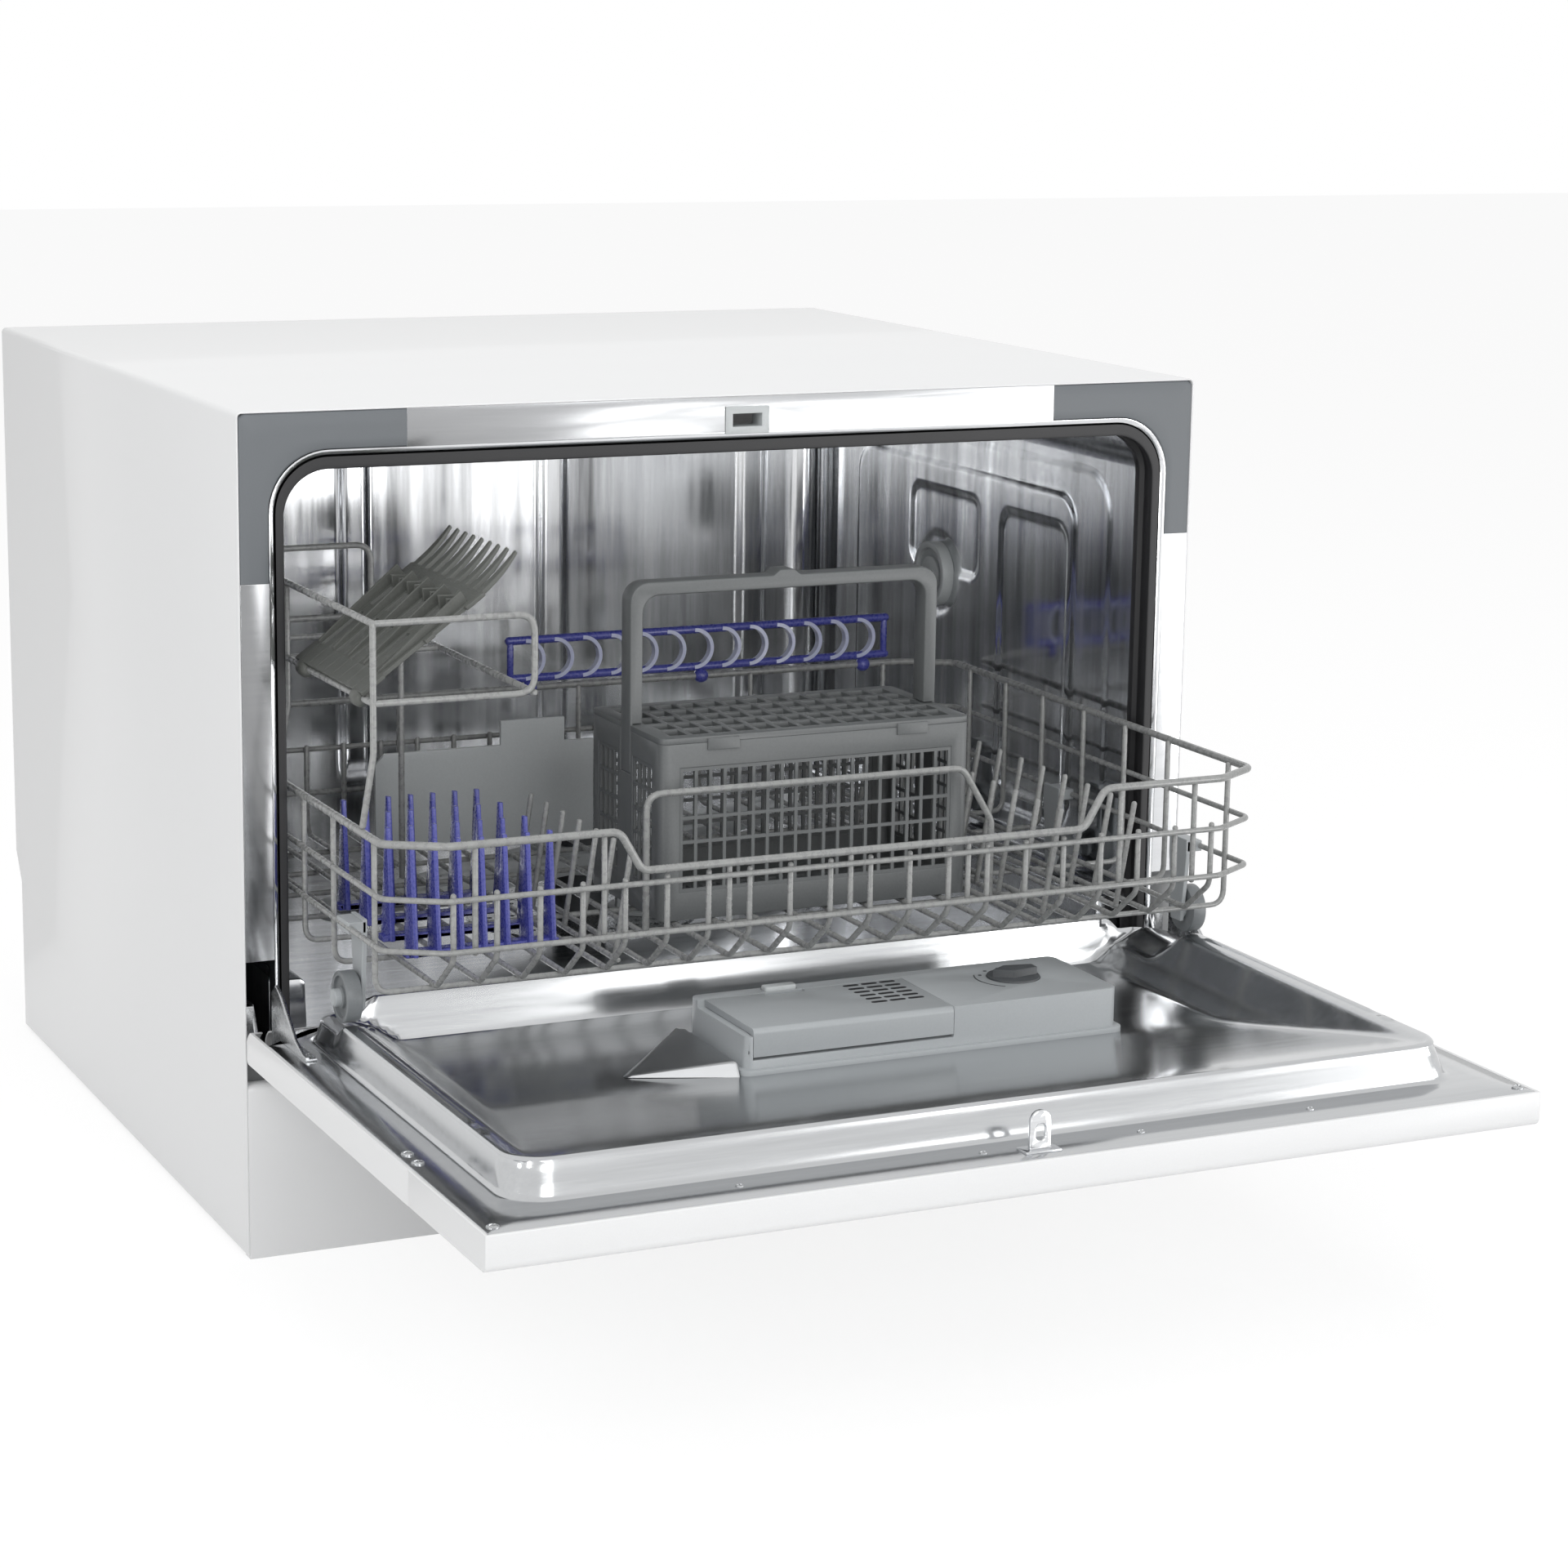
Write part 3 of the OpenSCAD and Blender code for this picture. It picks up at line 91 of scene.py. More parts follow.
# %% [markdown]
# ## Camera
#
# The photograph looks down into the open machine from the front left. The camera's place, its turn and its
# lens were found by matching the cabinet's corners and the door's corners to the picture. The lens is long,
# so parallel edges stay nearly parallel. The small shift puts the lens axis where the photograph has it.

# %% Camera
PICTURE = 1920
EYE = np.array([-800.76, -1736.48, 641.57])
TURN, TILT, ROLL = -0.4434, 0.2045, 0.0151
FOCAL = 4480.5
AXIS_AT = (954.97, 926.0)

forward = np.array([-math.sin(TURN) * math.cos(TILT), math.cos(TURN) * math.cos(TILT), -math.sin(TILT)])
level = np.cross(forward, (0, 0, 1))
level /= np.linalg.norm(level)
upright = np.cross(level, forward)
right = math.cos(ROLL) * level + math.sin(ROLL) * upright
above = math.cos(ROLL) * upright - math.sin(ROLL) * level

lens = bpy.data.cameras.new("photo_camera")
lens.sensor_width = 36
lens.sensor_fit = "HORIZONTAL"
lens.lens = FOCAL / PICTURE * lens.sensor_width
lens.shift_x = (PICTURE / 2 - AXIS_AT[0]) / PICTURE
lens.shift_y = (AXIS_AT[1] - PICTURE / 2) / PICTURE
lens.clip_start = 0.05
camera = bpy.data.objects.new("photo_camera", lens)
bpy.context.scene.collection.objects.link(camera)
turned = np.column_stack([right, above, -forward])
camera.matrix_world = Matrix.Translation(Vector(EYE * MM)) @ Matrix(turned.tolist()).to_4x4()
bpy.context.scene.camera = camera
print("lens:", round(lens.lens, 1), "mm")

# %% [markdown]
# ## Shared effects
#
# Small node groups carry what several finishes have in common. *Grain* is the fine, even texture of paint
# and moulded plastic. *Drawn* is the long, faint streaking of rolled steel, along the width or upwards.
# *Waviness* is how thin sheet bends reflections after pressing, and *pleats* are such bends that run up a
# wall. Each gives a mask for colour and roughness and a height for bump.
# They read Object coordinates, so nothing slides when a part moves.

# %% Node groups
def dial(node, **values):
    """Writes numbers on a node's sockets: Coat_Weight=0.2 goes to the socket named Coat Weight."""
    for socket, value in values.items():
        node.inputs[socket.replace("_", " ")].default_value = value


def effect_group(name, stretch, detail, roughness):
    """A noise on Object coordinates scaled by (stretch x Scale): Mask is the noise pushed away from its
    middle by Contrast, and Height is the plain noise."""
    group = bpy.data.node_groups.new(name, "ShaderNodeTree")
    for socket, value in (("Scale", 1.0), ("Contrast", 1.0)):
        group.interface.new_socket(socket, in_out="INPUT", socket_type="NodeSocketFloat").default_value = value
    for socket in ("Mask", "Height"):
        group.interface.new_socket(socket, in_out="OUTPUT", socket_type="NodeSocketFloat")
    new, link = group.nodes.new, group.links.new
    given, given_out = new("NodeGroupInput"), new("NodeGroupOutput")
    where, mapping, noise = new("ShaderNodeTexCoord"), new("ShaderNodeMapping"), new("ShaderNodeTexNoise")
    dial(mapping, Scale=stretch)
    dial(noise, Detail=detail, Roughness=roughness)
    less, push, back = new("ShaderNodeMath"), new("ShaderNodeMath"), new("ShaderNodeMath")
    less.operation, push.operation, back.operation = "SUBTRACT", "MULTIPLY", "ADD"
    less.inputs[1].default_value = 0.5
    back.inputs[1].default_value = 0.5
    back.use_clamp = True
    link(where.outputs["Object"], mapping.inputs["Vector"])
    link(mapping.outputs["Vector"], noise.inputs["Vector"])
    link(given.outputs["Scale"], noise.inputs["Scale"])
    link(noise.outputs["Fac"], less.inputs[0])
    link(less.outputs[0], push.inputs[0])
    link(given.outputs["Contrast"], push.inputs[1])
    link(push.outputs[0], back.inputs[0])
    link(back.outputs[0], given_out.inputs["Mask"])
    link(noise.outputs["Fac"], given_out.inputs["Height"])
    return group


GRAIN = effect_group("grain", (1, 1, 1), 4, 0.6)
DRAWN = effect_group("drawn", (0.04, 1, 1), 5, 0.7)
DRAWN_UP = effect_group("drawn_up", (1, 1, 0.05), 4, 0.6)
WAVINESS = effect_group("waviness", (1, 1, 0.5), 1, 0.3)
PLEATS = effect_group("pleats", (1, 1, 0.1), 2, 0.45)

# %% [markdown]
# ## Finishes
#
# Every finish is one Principled shader. Two close colours are mixed by a mask, the same mask moves the
# roughness a little, and a height gives bump. Steel adds the waviness under its streaks. What is the same
# all over, such as metalness or coat, is written on the shader itself. The frame's steel carries a painted
# reflection: its colour is darker at its left end, where the column mirrors a dim side of the room.

# %% Finishes
def finish(name, light, dark, rough, effect=GRAIN, scale=400.0, contrast=1.5, bump=0.00002,
           metal=0.0, coat=0.0, waves=0.0, wave_scale=9.0, wave_effect=WAVINESS):
    """Principled finish: colour = dark to light by the mask, roughness = rough[0] to rough[1] by the mask."""
    material = bpy.data.materials.new(name)
    material.use_nodes = True
    tree = material.node_tree
    new, link = tree.nodes.new, tree.links.new
    shader = tree.nodes["Principled BSDF"]
    dial(shader, Metallic=metal, Coat_Weight=coat, Coat_Roughness=0.08)
    pattern = new("ShaderNodeGroup")
    pattern.node_tree = effect
    dial(pattern, Scale=scale, Contrast=contrast)
    mix = new("ShaderNodeMix")
    mix.data_type = "RGBA"
    dial(mix, A=(*dark, 1), B=(*light, 1))
    spread, relief = new("ShaderNodeMapRange"), new("ShaderNodeBump")
    dial(spread, To_Min=rough[0], To_Max=rough[1])
    dial(relief, Strength=1.0, Distance=bump)
    link(pattern.outputs["Mask"], mix.inputs["Factor"])
    link(mix.outputs["Result"], shader.inputs["Base Color"])
    link(pattern.outputs["Mask"], spread.inputs["Value"])
    link(spread.outputs["Result"], shader.inputs["Roughness"])
    link(pattern.outputs["Height"], relief.inputs["Height"])
    if waves:
        wavy = new("ShaderNodeGroup")
        wavy.node_tree = wave_effect
        dial(wavy, Scale=wave_scale)
        bend = new("ShaderNodeBump")
        dial(bend, Strength=1.0, Distance=waves)
        link(wavy.outputs["Height"], bend.inputs["Height"])
        link(bend.outputs["Normal"], relief.inputs["Normal"])
    link(relief.outputs["Normal"], shader.inputs["Normal"])
    return material


SHEET = {"effect": DRAWN, "bump": 0.000004, "metal": 1.0}
MOULDED = {"scale": 900, "bump": 0.00003}
# name: light colour, dark colour, roughness range, and what differs from the defaults
FINISHES = {
    "white_paint": ((0.80, 0.805, 0.81), (0.792, 0.797, 0.802), (0.27, 0.31),
                    {"scale": 900, "bump": 0.000002, "coat": 0.35}),
    "white_plastic": ((0.80, 0.805, 0.81), (0.77, 0.775, 0.78), (0.32, 0.42), {"scale": 1200}),
    # The tub's two steels below carry painted light: their colours reach above real stainless, standing in for
    # light that falls into the tub.
    "bright_steel": ((0.84, 0.85, 0.865), (0.60, 0.61, 0.625), (0.10, 0.20),
                     {**SHEET, "scale": 220, "contrast": 2.0, "waves": 0.0014, "wave_scale": 7.0}),
    "wall_steel": ((0.86, 0.87, 0.885), (0.52, 0.53, 0.545), (0.08, 0.20),
                   {**SHEET, "effect": DRAWN_UP, "scale": 60, "contrast": 3.0, "bump": 0.00001,
                    "waves": 0.0015, "wave_scale": 15.0, "wave_effect": PLEATS}),
    "front_steel": ((0.74, 0.75, 0.765), (0.64, 0.65, 0.665), (0.16, 0.26),
                    {**SHEET, "scale": 220, "waves": 0.0007, "wave_scale": 7.0}),
    "liner_steel": ((0.58, 0.59, 0.60), (0.51, 0.52, 0.53), (0.12, 0.22),
                    {**SHEET, "scale": 260, "waves": 0.0005, "wave_scale": 8.0}),
    "ramp_steel": ((0.58, 0.59, 0.60), (0.5, 0.51, 0.52), (0.25, 0.4),
                   {**SHEET, "scale": 60, "bump": 0.00001}),
    "plate_steel": ((0.55, 0.56, 0.57), (0.42, 0.43, 0.44), (0.22, 0.34),
                    {"scale": 500, "bump": 0.00001, "metal": 1.0}),
    "frame_grey": ((0.150, 0.163, 0.176), (0.135, 0.147, 0.158), (0.42, 0.55),
                   {"scale": 1500, "bump": 0.00004}),
    "basket_grey": ((0.15, 0.158, 0.16), (0.122, 0.13, 0.132), (0.36, 0.5), MOULDED),
    "dispenser_grey": ((0.42, 0.443, 0.456), (0.385, 0.407, 0.42), (0.34, 0.46),
                       {"scale": 1100, "bump": 0.00003}),
    "pale_grey": ((0.56, 0.585, 0.59), (0.5, 0.525, 0.53), (0.3, 0.42), {"scale": 1100}),
    "wheel_grey": ((0.2, 0.214, 0.222), (0.17, 0.182, 0.19), (0.34, 0.46), {"scale": 1100, "bump": 0.00003}),
    "dark_grey": ((0.075, 0.08, 0.085), (0.055, 0.06, 0.065), (0.4, 0.55), MOULDED),
    "coated_wire": ((0.33, 0.335, 0.33), (0.245, 0.25, 0.247), (0.22, 0.34),
                    {"scale": 260, "contrast": 2.0, "bump": 0.00005, "coat": 0.15}),
    "blue_plastic": ((0.09, 0.1, 0.42), (0.06, 0.068, 0.32), (0.22, 0.34), {"scale": 700, "coat": 0.2}),
    "pale_blue": ((0.62, 0.65, 0.82), (0.5, 0.53, 0.74), (0.25, 0.35), {"scale": 700, "coat": 0.2}),
    "rubber": ((0.02, 0.02, 0.022), (0.012, 0.012, 0.013), (0.45, 0.62), {"scale": 1400, "bump": 0.00005}),
    "black_glass": ((0.012, 0.012, 0.014), (0.008, 0.008, 0.01), (0.05, 0.08),
                    {"scale": 300, "bump": 0.000001, "coat": 0.6}),
    "tray_plastic": ((0.115, 0.12, 0.11), (0.085, 0.09, 0.083), (0.35, 0.5), MOULDED),
    "tray_grey": ((0.16, 0.165, 0.17), (0.13, 0.135, 0.14), (0.5, 0.65), {"scale": 600, "bump": 0.00004}),
}
FINISH = {name: finish(name, *colours, **rest) for name, (*colours, rest) in FINISHES.items()}


def paint_reflection_across(material, left, right, half=0.275):
    """Painted reflection: multiplies the colour by a level that runs from left at X = -half to right at X =
    half.
    """
    tree = material.node_tree
    new, link = tree.nodes.new, tree.links.new
    shader = tree.nodes["Principled BSDF"]
    colour = shader.inputs["Base Color"].links[0].from_socket
    place, split = new("ShaderNodeTexCoord"), new("ShaderNodeSeparateXYZ")
    level, reflection_dim = new("ShaderNodeMapRange"), new("ShaderNodeMix")
    reflection_dim.data_type, reflection_dim.blend_type = "RGBA", "MULTIPLY"
    dial(reflection_dim, Factor=1.0)
    dial(level, From_Min=-half, From_Max=half, To_Min=left, To_Max=right)
    link(place.outputs["Object"], split.inputs[0])
    link(split.outputs["X"], level.inputs["Value"])
    link(colour, reflection_dim.inputs["A"])
    link(level.outputs["Result"], reflection_dim.inputs["B"])
    link(reflection_dim.outputs["Result"], shader.inputs["Base Color"])


# painted reflection: the frame's steel darkens towards its left end, where the column mirrors a dim side of the
# room
paint_reflection_across(FINISH["front_steel"], 0.42, 1.05)
print("finishes:", len(FINISH))

# %% [markdown]
# ## Turning numbers into surfaces
#
# A grid of points becomes quads, a wire is a circle carried along a path, and a bent path gets a soft curve
# at each corner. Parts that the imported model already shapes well, such as the dispenser, only need their
# knife edges eased: a copy is merged, its flat faces are cleared of needless edges, and a narrow bevel
# catches the light as a moulded edge does.

# %% Surface helpers
def grid_faces(rows, cols, wrap_rows=False, wrap_cols=False):
    """Quads between neighbouring points of a rows x cols grid, joined round where a direction wraps."""
    i = np.arange(rows if wrap_rows else rows - 1)[:, None]
    j = np.arange(cols if wrap_cols else cols - 1)[None, :]
    down, across = (i + 1) % rows, (j + 1) % cols
    corners = (i * cols + j, i * cols + across, down * cols + across, down * cols + j)
    return np.stack(np.broadcast_arrays(*corners), -1).reshape(-1, 4)


def joined(parts):
    """Several (points, faces) pairs as one: a part's vertex numbers move up by the points before it."""
    points, faces, count = [], [], 0
    for part_points, part_faces in parts:
        part_points = np.asarray(part_points, float).reshape(-1, 3)
        points.append(part_points)
        faces += [[int(v) + count for v in face] for face in part_faces]
        count += len(part_points)
    return np.vstack(points), faces


def home_of(node):
    """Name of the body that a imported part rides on."""
    return nodes[node].parent.name.split(":", 1)[1]


def cleaned(mesh, apart, flat=False):
    """Joins points that lie less than apart from each other, and clears flat faces of needless edges."""
    edit = bmesh.new()
    edit.from_mesh(mesh)
    bmesh.ops.remove_doubles(edit, verts=edit.verts, dist=apart)
    if flat:
        bmesh.ops.dissolve_limit(edit, angle_limit=math.radians(1.0), verts=edit.verts, edges=edit.edges)
    edit.to_mesh(mesh)
    edit.free()


def shown(name, mesh, material):
    """An object for the mesh, with one finish and smooth shading."""
    mesh.materials.append(FINISH[material])
    mesh.shade_smooth()
    piece = bpy.data.objects.new(name, mesh)
    bpy.context.scene.collection.objects.link(piece)
    return piece


def place(name, points, faces, body, material, stands_for=(), sharp=40, merge=False):
    """Makes the mesh in metres and lets it ride on its body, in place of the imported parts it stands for."""
    mesh = bpy.data.meshes.new(name)
    spots = np.asarray(points, float).reshape(-1, 3) * MM
    mesh.from_pydata(spots.tolist(), [], [list(map(int, face)) for face in faces])
    if merge:
        cleaned(mesh, 1e-6)
    piece = shown(name, mesh, material)
    mesh.set_sharp_from_angle(angle=math.radians(sharp))
    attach(piece, body)
    if stands_for:
        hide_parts(*stands_for)
    return piece


def soften(piece, width, segments=2):
    """A bevel on the sharp edges of a piece."""
    bevel = piece.modifiers.new("soft edges", "BEVEL")
    bevel.width, bevel.segments, bevel.limit_method = width * MM, segments, "ANGLE"
    return bevel


def eased(node, material, width):
    """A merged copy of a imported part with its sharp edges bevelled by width."""
    mesh = nodes[node].data.copy()
    cleaned(mesh, 2e-6, flat=True)
    mesh.materials.clear()
    piece = shown(node + "_eased", mesh, material)
    bevel = soften(piece, width)
    bevel.angle_limit, bevel.harden_normals = math.radians(35), True
    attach(piece, home_of(node))
    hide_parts(node)


def soft_path(corners, radius, steps=6, closed=False):
    """A bent line with a curve at each corner: start + end of the curve lie radius·tan(half turn) from the
    corner, and between them it is (1-s)²·start + 2s(1-s)·corner + s²·end."""
    corners = [np.asarray(c, float) for c in corners]
    count = len(corners)
    out = []
    for k, corner in enumerate(corners):
        if not closed and k in (0, count - 1):
            out.append(corner[None, :])
            continue
        before, after = corners[k - 1] - corner, corners[(k + 1) % count] - corner
        reach_before, reach_after = np.linalg.norm(before), np.linalg.norm(after)
        before, after = before / reach_before, after / reach_after
        half = (math.pi - math.acos(np.clip(before @ after, -1, 1))) / 2
        cut = min(radius * math.tan(half), 0.48 * reach_before, 0.48 * reach_after)
        s = np.linspace(0, 1, steps + 1)[:, None]
        first, last = corner + before * cut, corner + after * cut
        out.append((1 - s) ** 2 * first + 2 * s * (1 - s) * corner + s ** 2 * last)
    return np.vstack(out)


def wire(path, d, ref=(0, 0, 1), sides=10, closed=False):
    """A circle carried along a path: path + r·(cos a · side + sin a · up), where side is square to the path
    and to ref. Open ends close in two narrowing rings and a flat."""
    path = np.asarray(path, float)
    r = np.full(len(path), d / 2.0)
    if closed:
        along = np.roll(path, -1, 0) - np.roll(path, 1, 0)
    else:
        first, last = path[1] - path[0], path[-1] - path[-2]
        first, last = first / np.linalg.norm(first), last / np.linalg.norm(last)
        path = np.vstack([path[0], path[0] + first * 0.15 * d, path[0] + first * 0.35 * d, path[1:-1],
                          path[-1] - last * 0.35 * d, path[-1] - last * 0.15 * d, path[-1]])
        r = np.concatenate([[0.25 * d, 0.42 * d, 0.5 * d], r[1:-1], [0.5 * d, 0.42 * d, 0.25 * d]])
        along = np.gradient(path, axis=0)
    along /= np.linalg.norm(along, axis=1, keepdims=True)
    side = np.cross(along, ref)
    side /= np.linalg.norm(side, axis=1, keepdims=True)
    up = np.cross(side, along)
    a = np.linspace(0, 2 * math.pi, sides, endpoint=False)
    ring = np.cos(a)[None, :, None] * side[:, None, :] + np.sin(a)[None, :, None] * up[:, None, :]
    points = (path[:, None, :] + r[:, None, None] * ring).reshape(-1, 3)
    faces = grid_faces(len(path), sides, wrap_rows=closed, wrap_cols=True)[:, ::-1].tolist()
    if not closed:
        faces += [list(range(sides)), list(range(len(points) - 1, len(points) - sides - 1, -1))]
    return points, faces


def rounded_box(x0, y0, x1, y1, r, side=110, corner=14):
    """Points round a rectangle with rounded corners, the same number for every size: side points along each
    straight and corner + 1 on each arc."""
    t = np.linspace(0, 1, side, endpoint=False)[1:, None]
    out = []
    middles = ((x1 - r, y1 - r), (x0 + r, y1 - r), (x0 + r, y0 + r), (x1 - r, y0 + r))
    for k, middle in enumerate(middles):
        a = math.pi / 2 * k + np.linspace(0, math.pi / 2, corner + 1)[:, None]
        arc = np.array(middle) + r * np.hstack([np.cos(a), np.sin(a)])
        turn = math.pi / 2 * (k + 1)
        following = np.array(middles[(k + 1) % 4]) + r * np.array([math.cos(turn), math.sin(turn)])
        out += [arc, arc[-1] + (following - arc[-1]) * t]
    return np.vstack(out)


def slab(outline, low, high):
    """An outline of (x, y) points at two heights, closed by side faces and two flats."""
    n = len(outline)
    points = [(*p, z) for z in (low, high) for p in outline]
    faces = [(i, (i + 1) % n, n + (i + 1) % n, n + i) for i in range(n)]
    return points, faces + [tuple(range(n))[::-1], tuple(range(n, 2 * n))]


def bar_faces(count):
    """Faces of a bar made of count rings of four corners, closed at both ends."""
    sides = grid_faces(count, 4, wrap_cols=True).tolist()
    return sides + [[3, 2, 1, 0], list(range(4 * count - 4, 4 * count))]


def at_depth(line, y):
    """A line of (x, z) points as (x, y, z) points at one depth."""
    return np.column_stack([line[:, 0], np.full(len(line), y), line[:, 1]])


def ease(x, a, b):
    """0 before a, 1 after b, and the curve 3t² - 2t³ between them."""
    t = np.clip((np.asarray(x, float) - a) / (b - a), 0, 1)
    return t * t * (3 - 2 * t)


def box_depth(u, v, u0, v0, u1, v1, r):
    """How deep a point lies in a rectangle with corners of radius r: its signed distance, negated."""
    du = np.abs(u - (u0 + u1) / 2) - (u1 - u0) / 2 + r
    dv = np.abs(v - (v0 + v1) / 2) - (v1 - v0) / 2 + r
    return r - np.hypot(np.maximum(du, 0), np.maximum(dv, 0)) - np.minimum(np.maximum(du, dv), 0)


# %% [markdown]
# ## The tub
#
# The wash chamber is folded and pressed from thin bright steel. Its walls carry shallow pressed fields that
# stiffen them, and they run into the roof and the rear wall on soft corners. Each wall is one grid over
# (depth, height); the distance into the wall is a sum of smooth steps across rounded rectangles. The roof is
# an arch carried from the mouth to the rear. At the mouth both roll outwards into a lip, and at the rear both
# roll inwards to meet the rear wall.

# %% Tub sizes and rolls
TUB_X, TUB_TOP, TUB_R, TUB_REAR, TUB_FLOOR = 255.0, 414.0, 28.0, 438.0, 107.0
LEDGE_X, LEDGE_TOP, LEDGE_Y = 236.0, 141.0, 22.0
LIP, REAR_ROLL, PRESS = 3.6, 22.0, 1.3
SHOULDER = TUB_TOP - TUB_R
VENT = (259.0, 292.0, 20.0)


def depth_rows(middle):
    """Rows from mouth to rear as (depth, inset): a quarter-circle out, straight, a quarter-circle in."""
    a = np.linspace(0, math.pi / 2, 7)
    mouth = np.column_stack([LIP * (1 - np.sin(a)), -LIP * (1 - np.cos(a))])[::-1]
    run = np.linspace(LIP, TUB_REAR - REAR_ROLL, middle)
    b = np.linspace(0, math.pi / 2, 13)
    rear = np.column_stack([TUB_REAR - REAR_ROLL + REAR_ROLL * np.sin(b), REAR_ROLL * (1 - np.cos(b))])
    return np.vstack([mouth, np.column_stack([run[1:-1], 0 * run[1:-1]]), rear])


def pressing(y, z):
    """How far the wall stands into the tub: a frame-shaped field with two sunken panels and a round seat."""
    def step(inside):
        return ease(inside, -1.6, 1.6)
    outer = step(box_depth(y, z, 90, 163, 370, 361, 18))
    low_panel = step(box_depth(y, z, 98, 175, 178, 343, 12))
    high_panel = step(box_depth(y, z, 206, 296, 294, 345, 10))
    seat = step(VENT[2] + 5 - np.hypot(y - VENT[0], z - VENT[1]))
    rim = step(box_depth(y, z, 52, 150, 405, 378, 26))
    return PRESS * np.clip(outer + 0.55 * rim - low_panel - high_panel - seat, 0, 2)


def tub_wall(side):
    """x = side · (tub half-width - inset - pressing) over the grid of depth and height."""
    rows = depth_rows(200)
    heights = np.linspace(TUB_FLOOR, SHOULDER, 128)
    y, z = np.meshgrid(rows[:, 0], heights)
    x = TUB_X - rows[:, 1][None, :] - pressing(y, z)
    faces = grid_faces(*y.shape)
    return np.stack([side * x, y, z], -1), faces if side > 0 else faces[:, ::-1]


SIDES = ((-1, "left"), (1, "right"))
for side, end in SIDES:
    place(f"tub_side_{end}_pressed", *tub_wall(side), "cabinet", "wall_steel", [f"tub_side_{end}"])

# %% Roof
def roof_arch(r, across=44, corner=14):
    """Half-circles quarter by quarter of radius r round the two shoulder centres, joined by the flat top."""
    a = np.linspace(0, math.pi / 2, corner)
    middle = TUB_X - TUB_R
    right_arc = np.column_stack([middle + r * np.cos(a), SHOULDER + r * np.sin(a)])
    top = np.column_stack([np.linspace(middle, -middle, across)[1:-1], np.full(across - 2, SHOULDER + r)])
    return np.vstack([right_arc, top, right_arc[::-1] * (-1, 1)])


rows = depth_rows(60)
roof = np.stack([at_depth(roof_arch(TUB_R - inset), y) for y, inset in rows])
place("tub_roof_rolled", roof, grid_faces(*roof.shape[:2]), "cabinet", "bright_steel", ["tub_roof"])

# %% Rear wall with its four ribs
def rear_wall():
    """y = rear - rib height, where a rib is a smooth bump across its width that fades at its two ends."""
    x, z = np.meshgrid(np.linspace(-233, 233, 300), np.linspace(TUB_FLOOR, TUB_TOP - REAR_ROLL, 60))
    ribs = sum(ease(11 - np.abs(x - centre), 0, 5) for centre in (-208, -67, 67, 208))
    ends = ease(z, 150, 162) * (1 - ease(z, 372, 384))
    return np.stack([x, TUB_REAR - 2.5 * ribs * ends, z], -1), grid_faces(*x.shape)


place("tub_rear_ribbed", *rear_wall(), "cabinet", "wall_steel", ["tub_rear"])

# %% [markdown]
# ## Wheel ledges
#
# Under each wall a step is pressed for the rack's wheels to roll on. Its section is a short polyline with
# soft bends, carried along the depth; two extra rows fold its front end down to the floor.

# %% Ledges
def ledge(side):
    """The bent section carried from front to rear, with its first rows folded down onto the floor."""
    section = soft_path([(LEDGE_X - 1, 0, TUB_FLOOR), (LEDGE_X, 0, LEDGE_TOP), (TUB_X + 0.2, 0, LEDGE_TOP),
                         (TUB_X + 0.2, 0, LEDGE_TOP + 8)], 4)
    stations = [(LEDGE_Y, 0.0), (LEDGE_Y, 0.9), (LEDGE_Y + 0.6, 0.98), (LEDGE_Y + 2, 1.0), (TUB_REAR - 1, 1.0)]
    rise = section[:, 2] - TUB_FLOOR
    grid = np.stack([at_depth(np.column_stack([side * section[:, 0], TUB_FLOOR + rise * share]), y)
                     for y, share in stations])
    faces = grid_faces(*grid.shape[:2])
    return grid, faces if side < 0 else faces[:, ::-1]


for side, end in SIDES:
    place(f"ledge_{end}", *ledge(side), "cabinet", "bright_steel")

# %% [markdown]
# ## Door seal
#
# A soft black profile lines the mouth of the tub: two lobes with a valley between them, up one side, over the
# top and down the other. The section gives, for each depth, how much of the seal's full thickness it fills,
# and the thickness is larger along the top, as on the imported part.

# %% Seal
SEAL_SIDE, SEAL_TOP, SEAL_DEPTH = 4.5, 6.5, 20.0


def arch_line(x, top, r, low, wall=14, corner=14, across=20):
    """Up one side, round a shoulder of radius r, across, and down the other side, as (x, z)."""
    a = np.linspace(0, math.pi / 2, corner)
    up = np.column_stack([np.full(wall, x), np.linspace(low, top - r, wall)])[:-1]
    arc = np.column_stack([x - r + r * np.cos(a), top - r + r * np.sin(a)])
    over = np.column_stack([np.linspace(x - r, 0, across)[1:], np.full(across - 1, top)])
    half = np.vstack([up, arc, over])
    return np.vstack([half, half[-2::-1] * (-1, 1)])


section = soft_path([(0, 1.0, 0), (0.95, 1.0, 0), (1.0, 5.2, 0), (0.5, 7.2, 0), (0.5, 12.8, 0), (1.0, 14.8, 0),
                     (0.95, SEAL_DEPTH, 0), (0, SEAL_DEPTH, 0)], 1.2, steps=4)
seal = np.stack([at_depth(arch_line(TUB_X - SEAL_SIDE * t, TUB_TOP - SEAL_TOP * t, TUB_R - SEAL_SIDE * t,
                                    TUB_FLOOR), y) for t, y, _ in section])
place("door_seal", seal, grid_faces(*seal.shape[:2]), "cabinet", "rubber", ["gasket"])

# %% [markdown]
# ## Front frame corners
#
# Two dark moulded pieces cover the upper corners of the mouth. Each is a face stretched between two lines:
# the round inner edge that follows the tub and the square outer edge that follows the cabinet. The same two
# lines, moved back, give its rims.

# %% Frame corners
FRAME_OUT, FRAME_TOP, FRAME_LOW, FRAME_IN, FRAME_DEPTH = 274.0, 437.0, 352.0, 186.0, 14.0


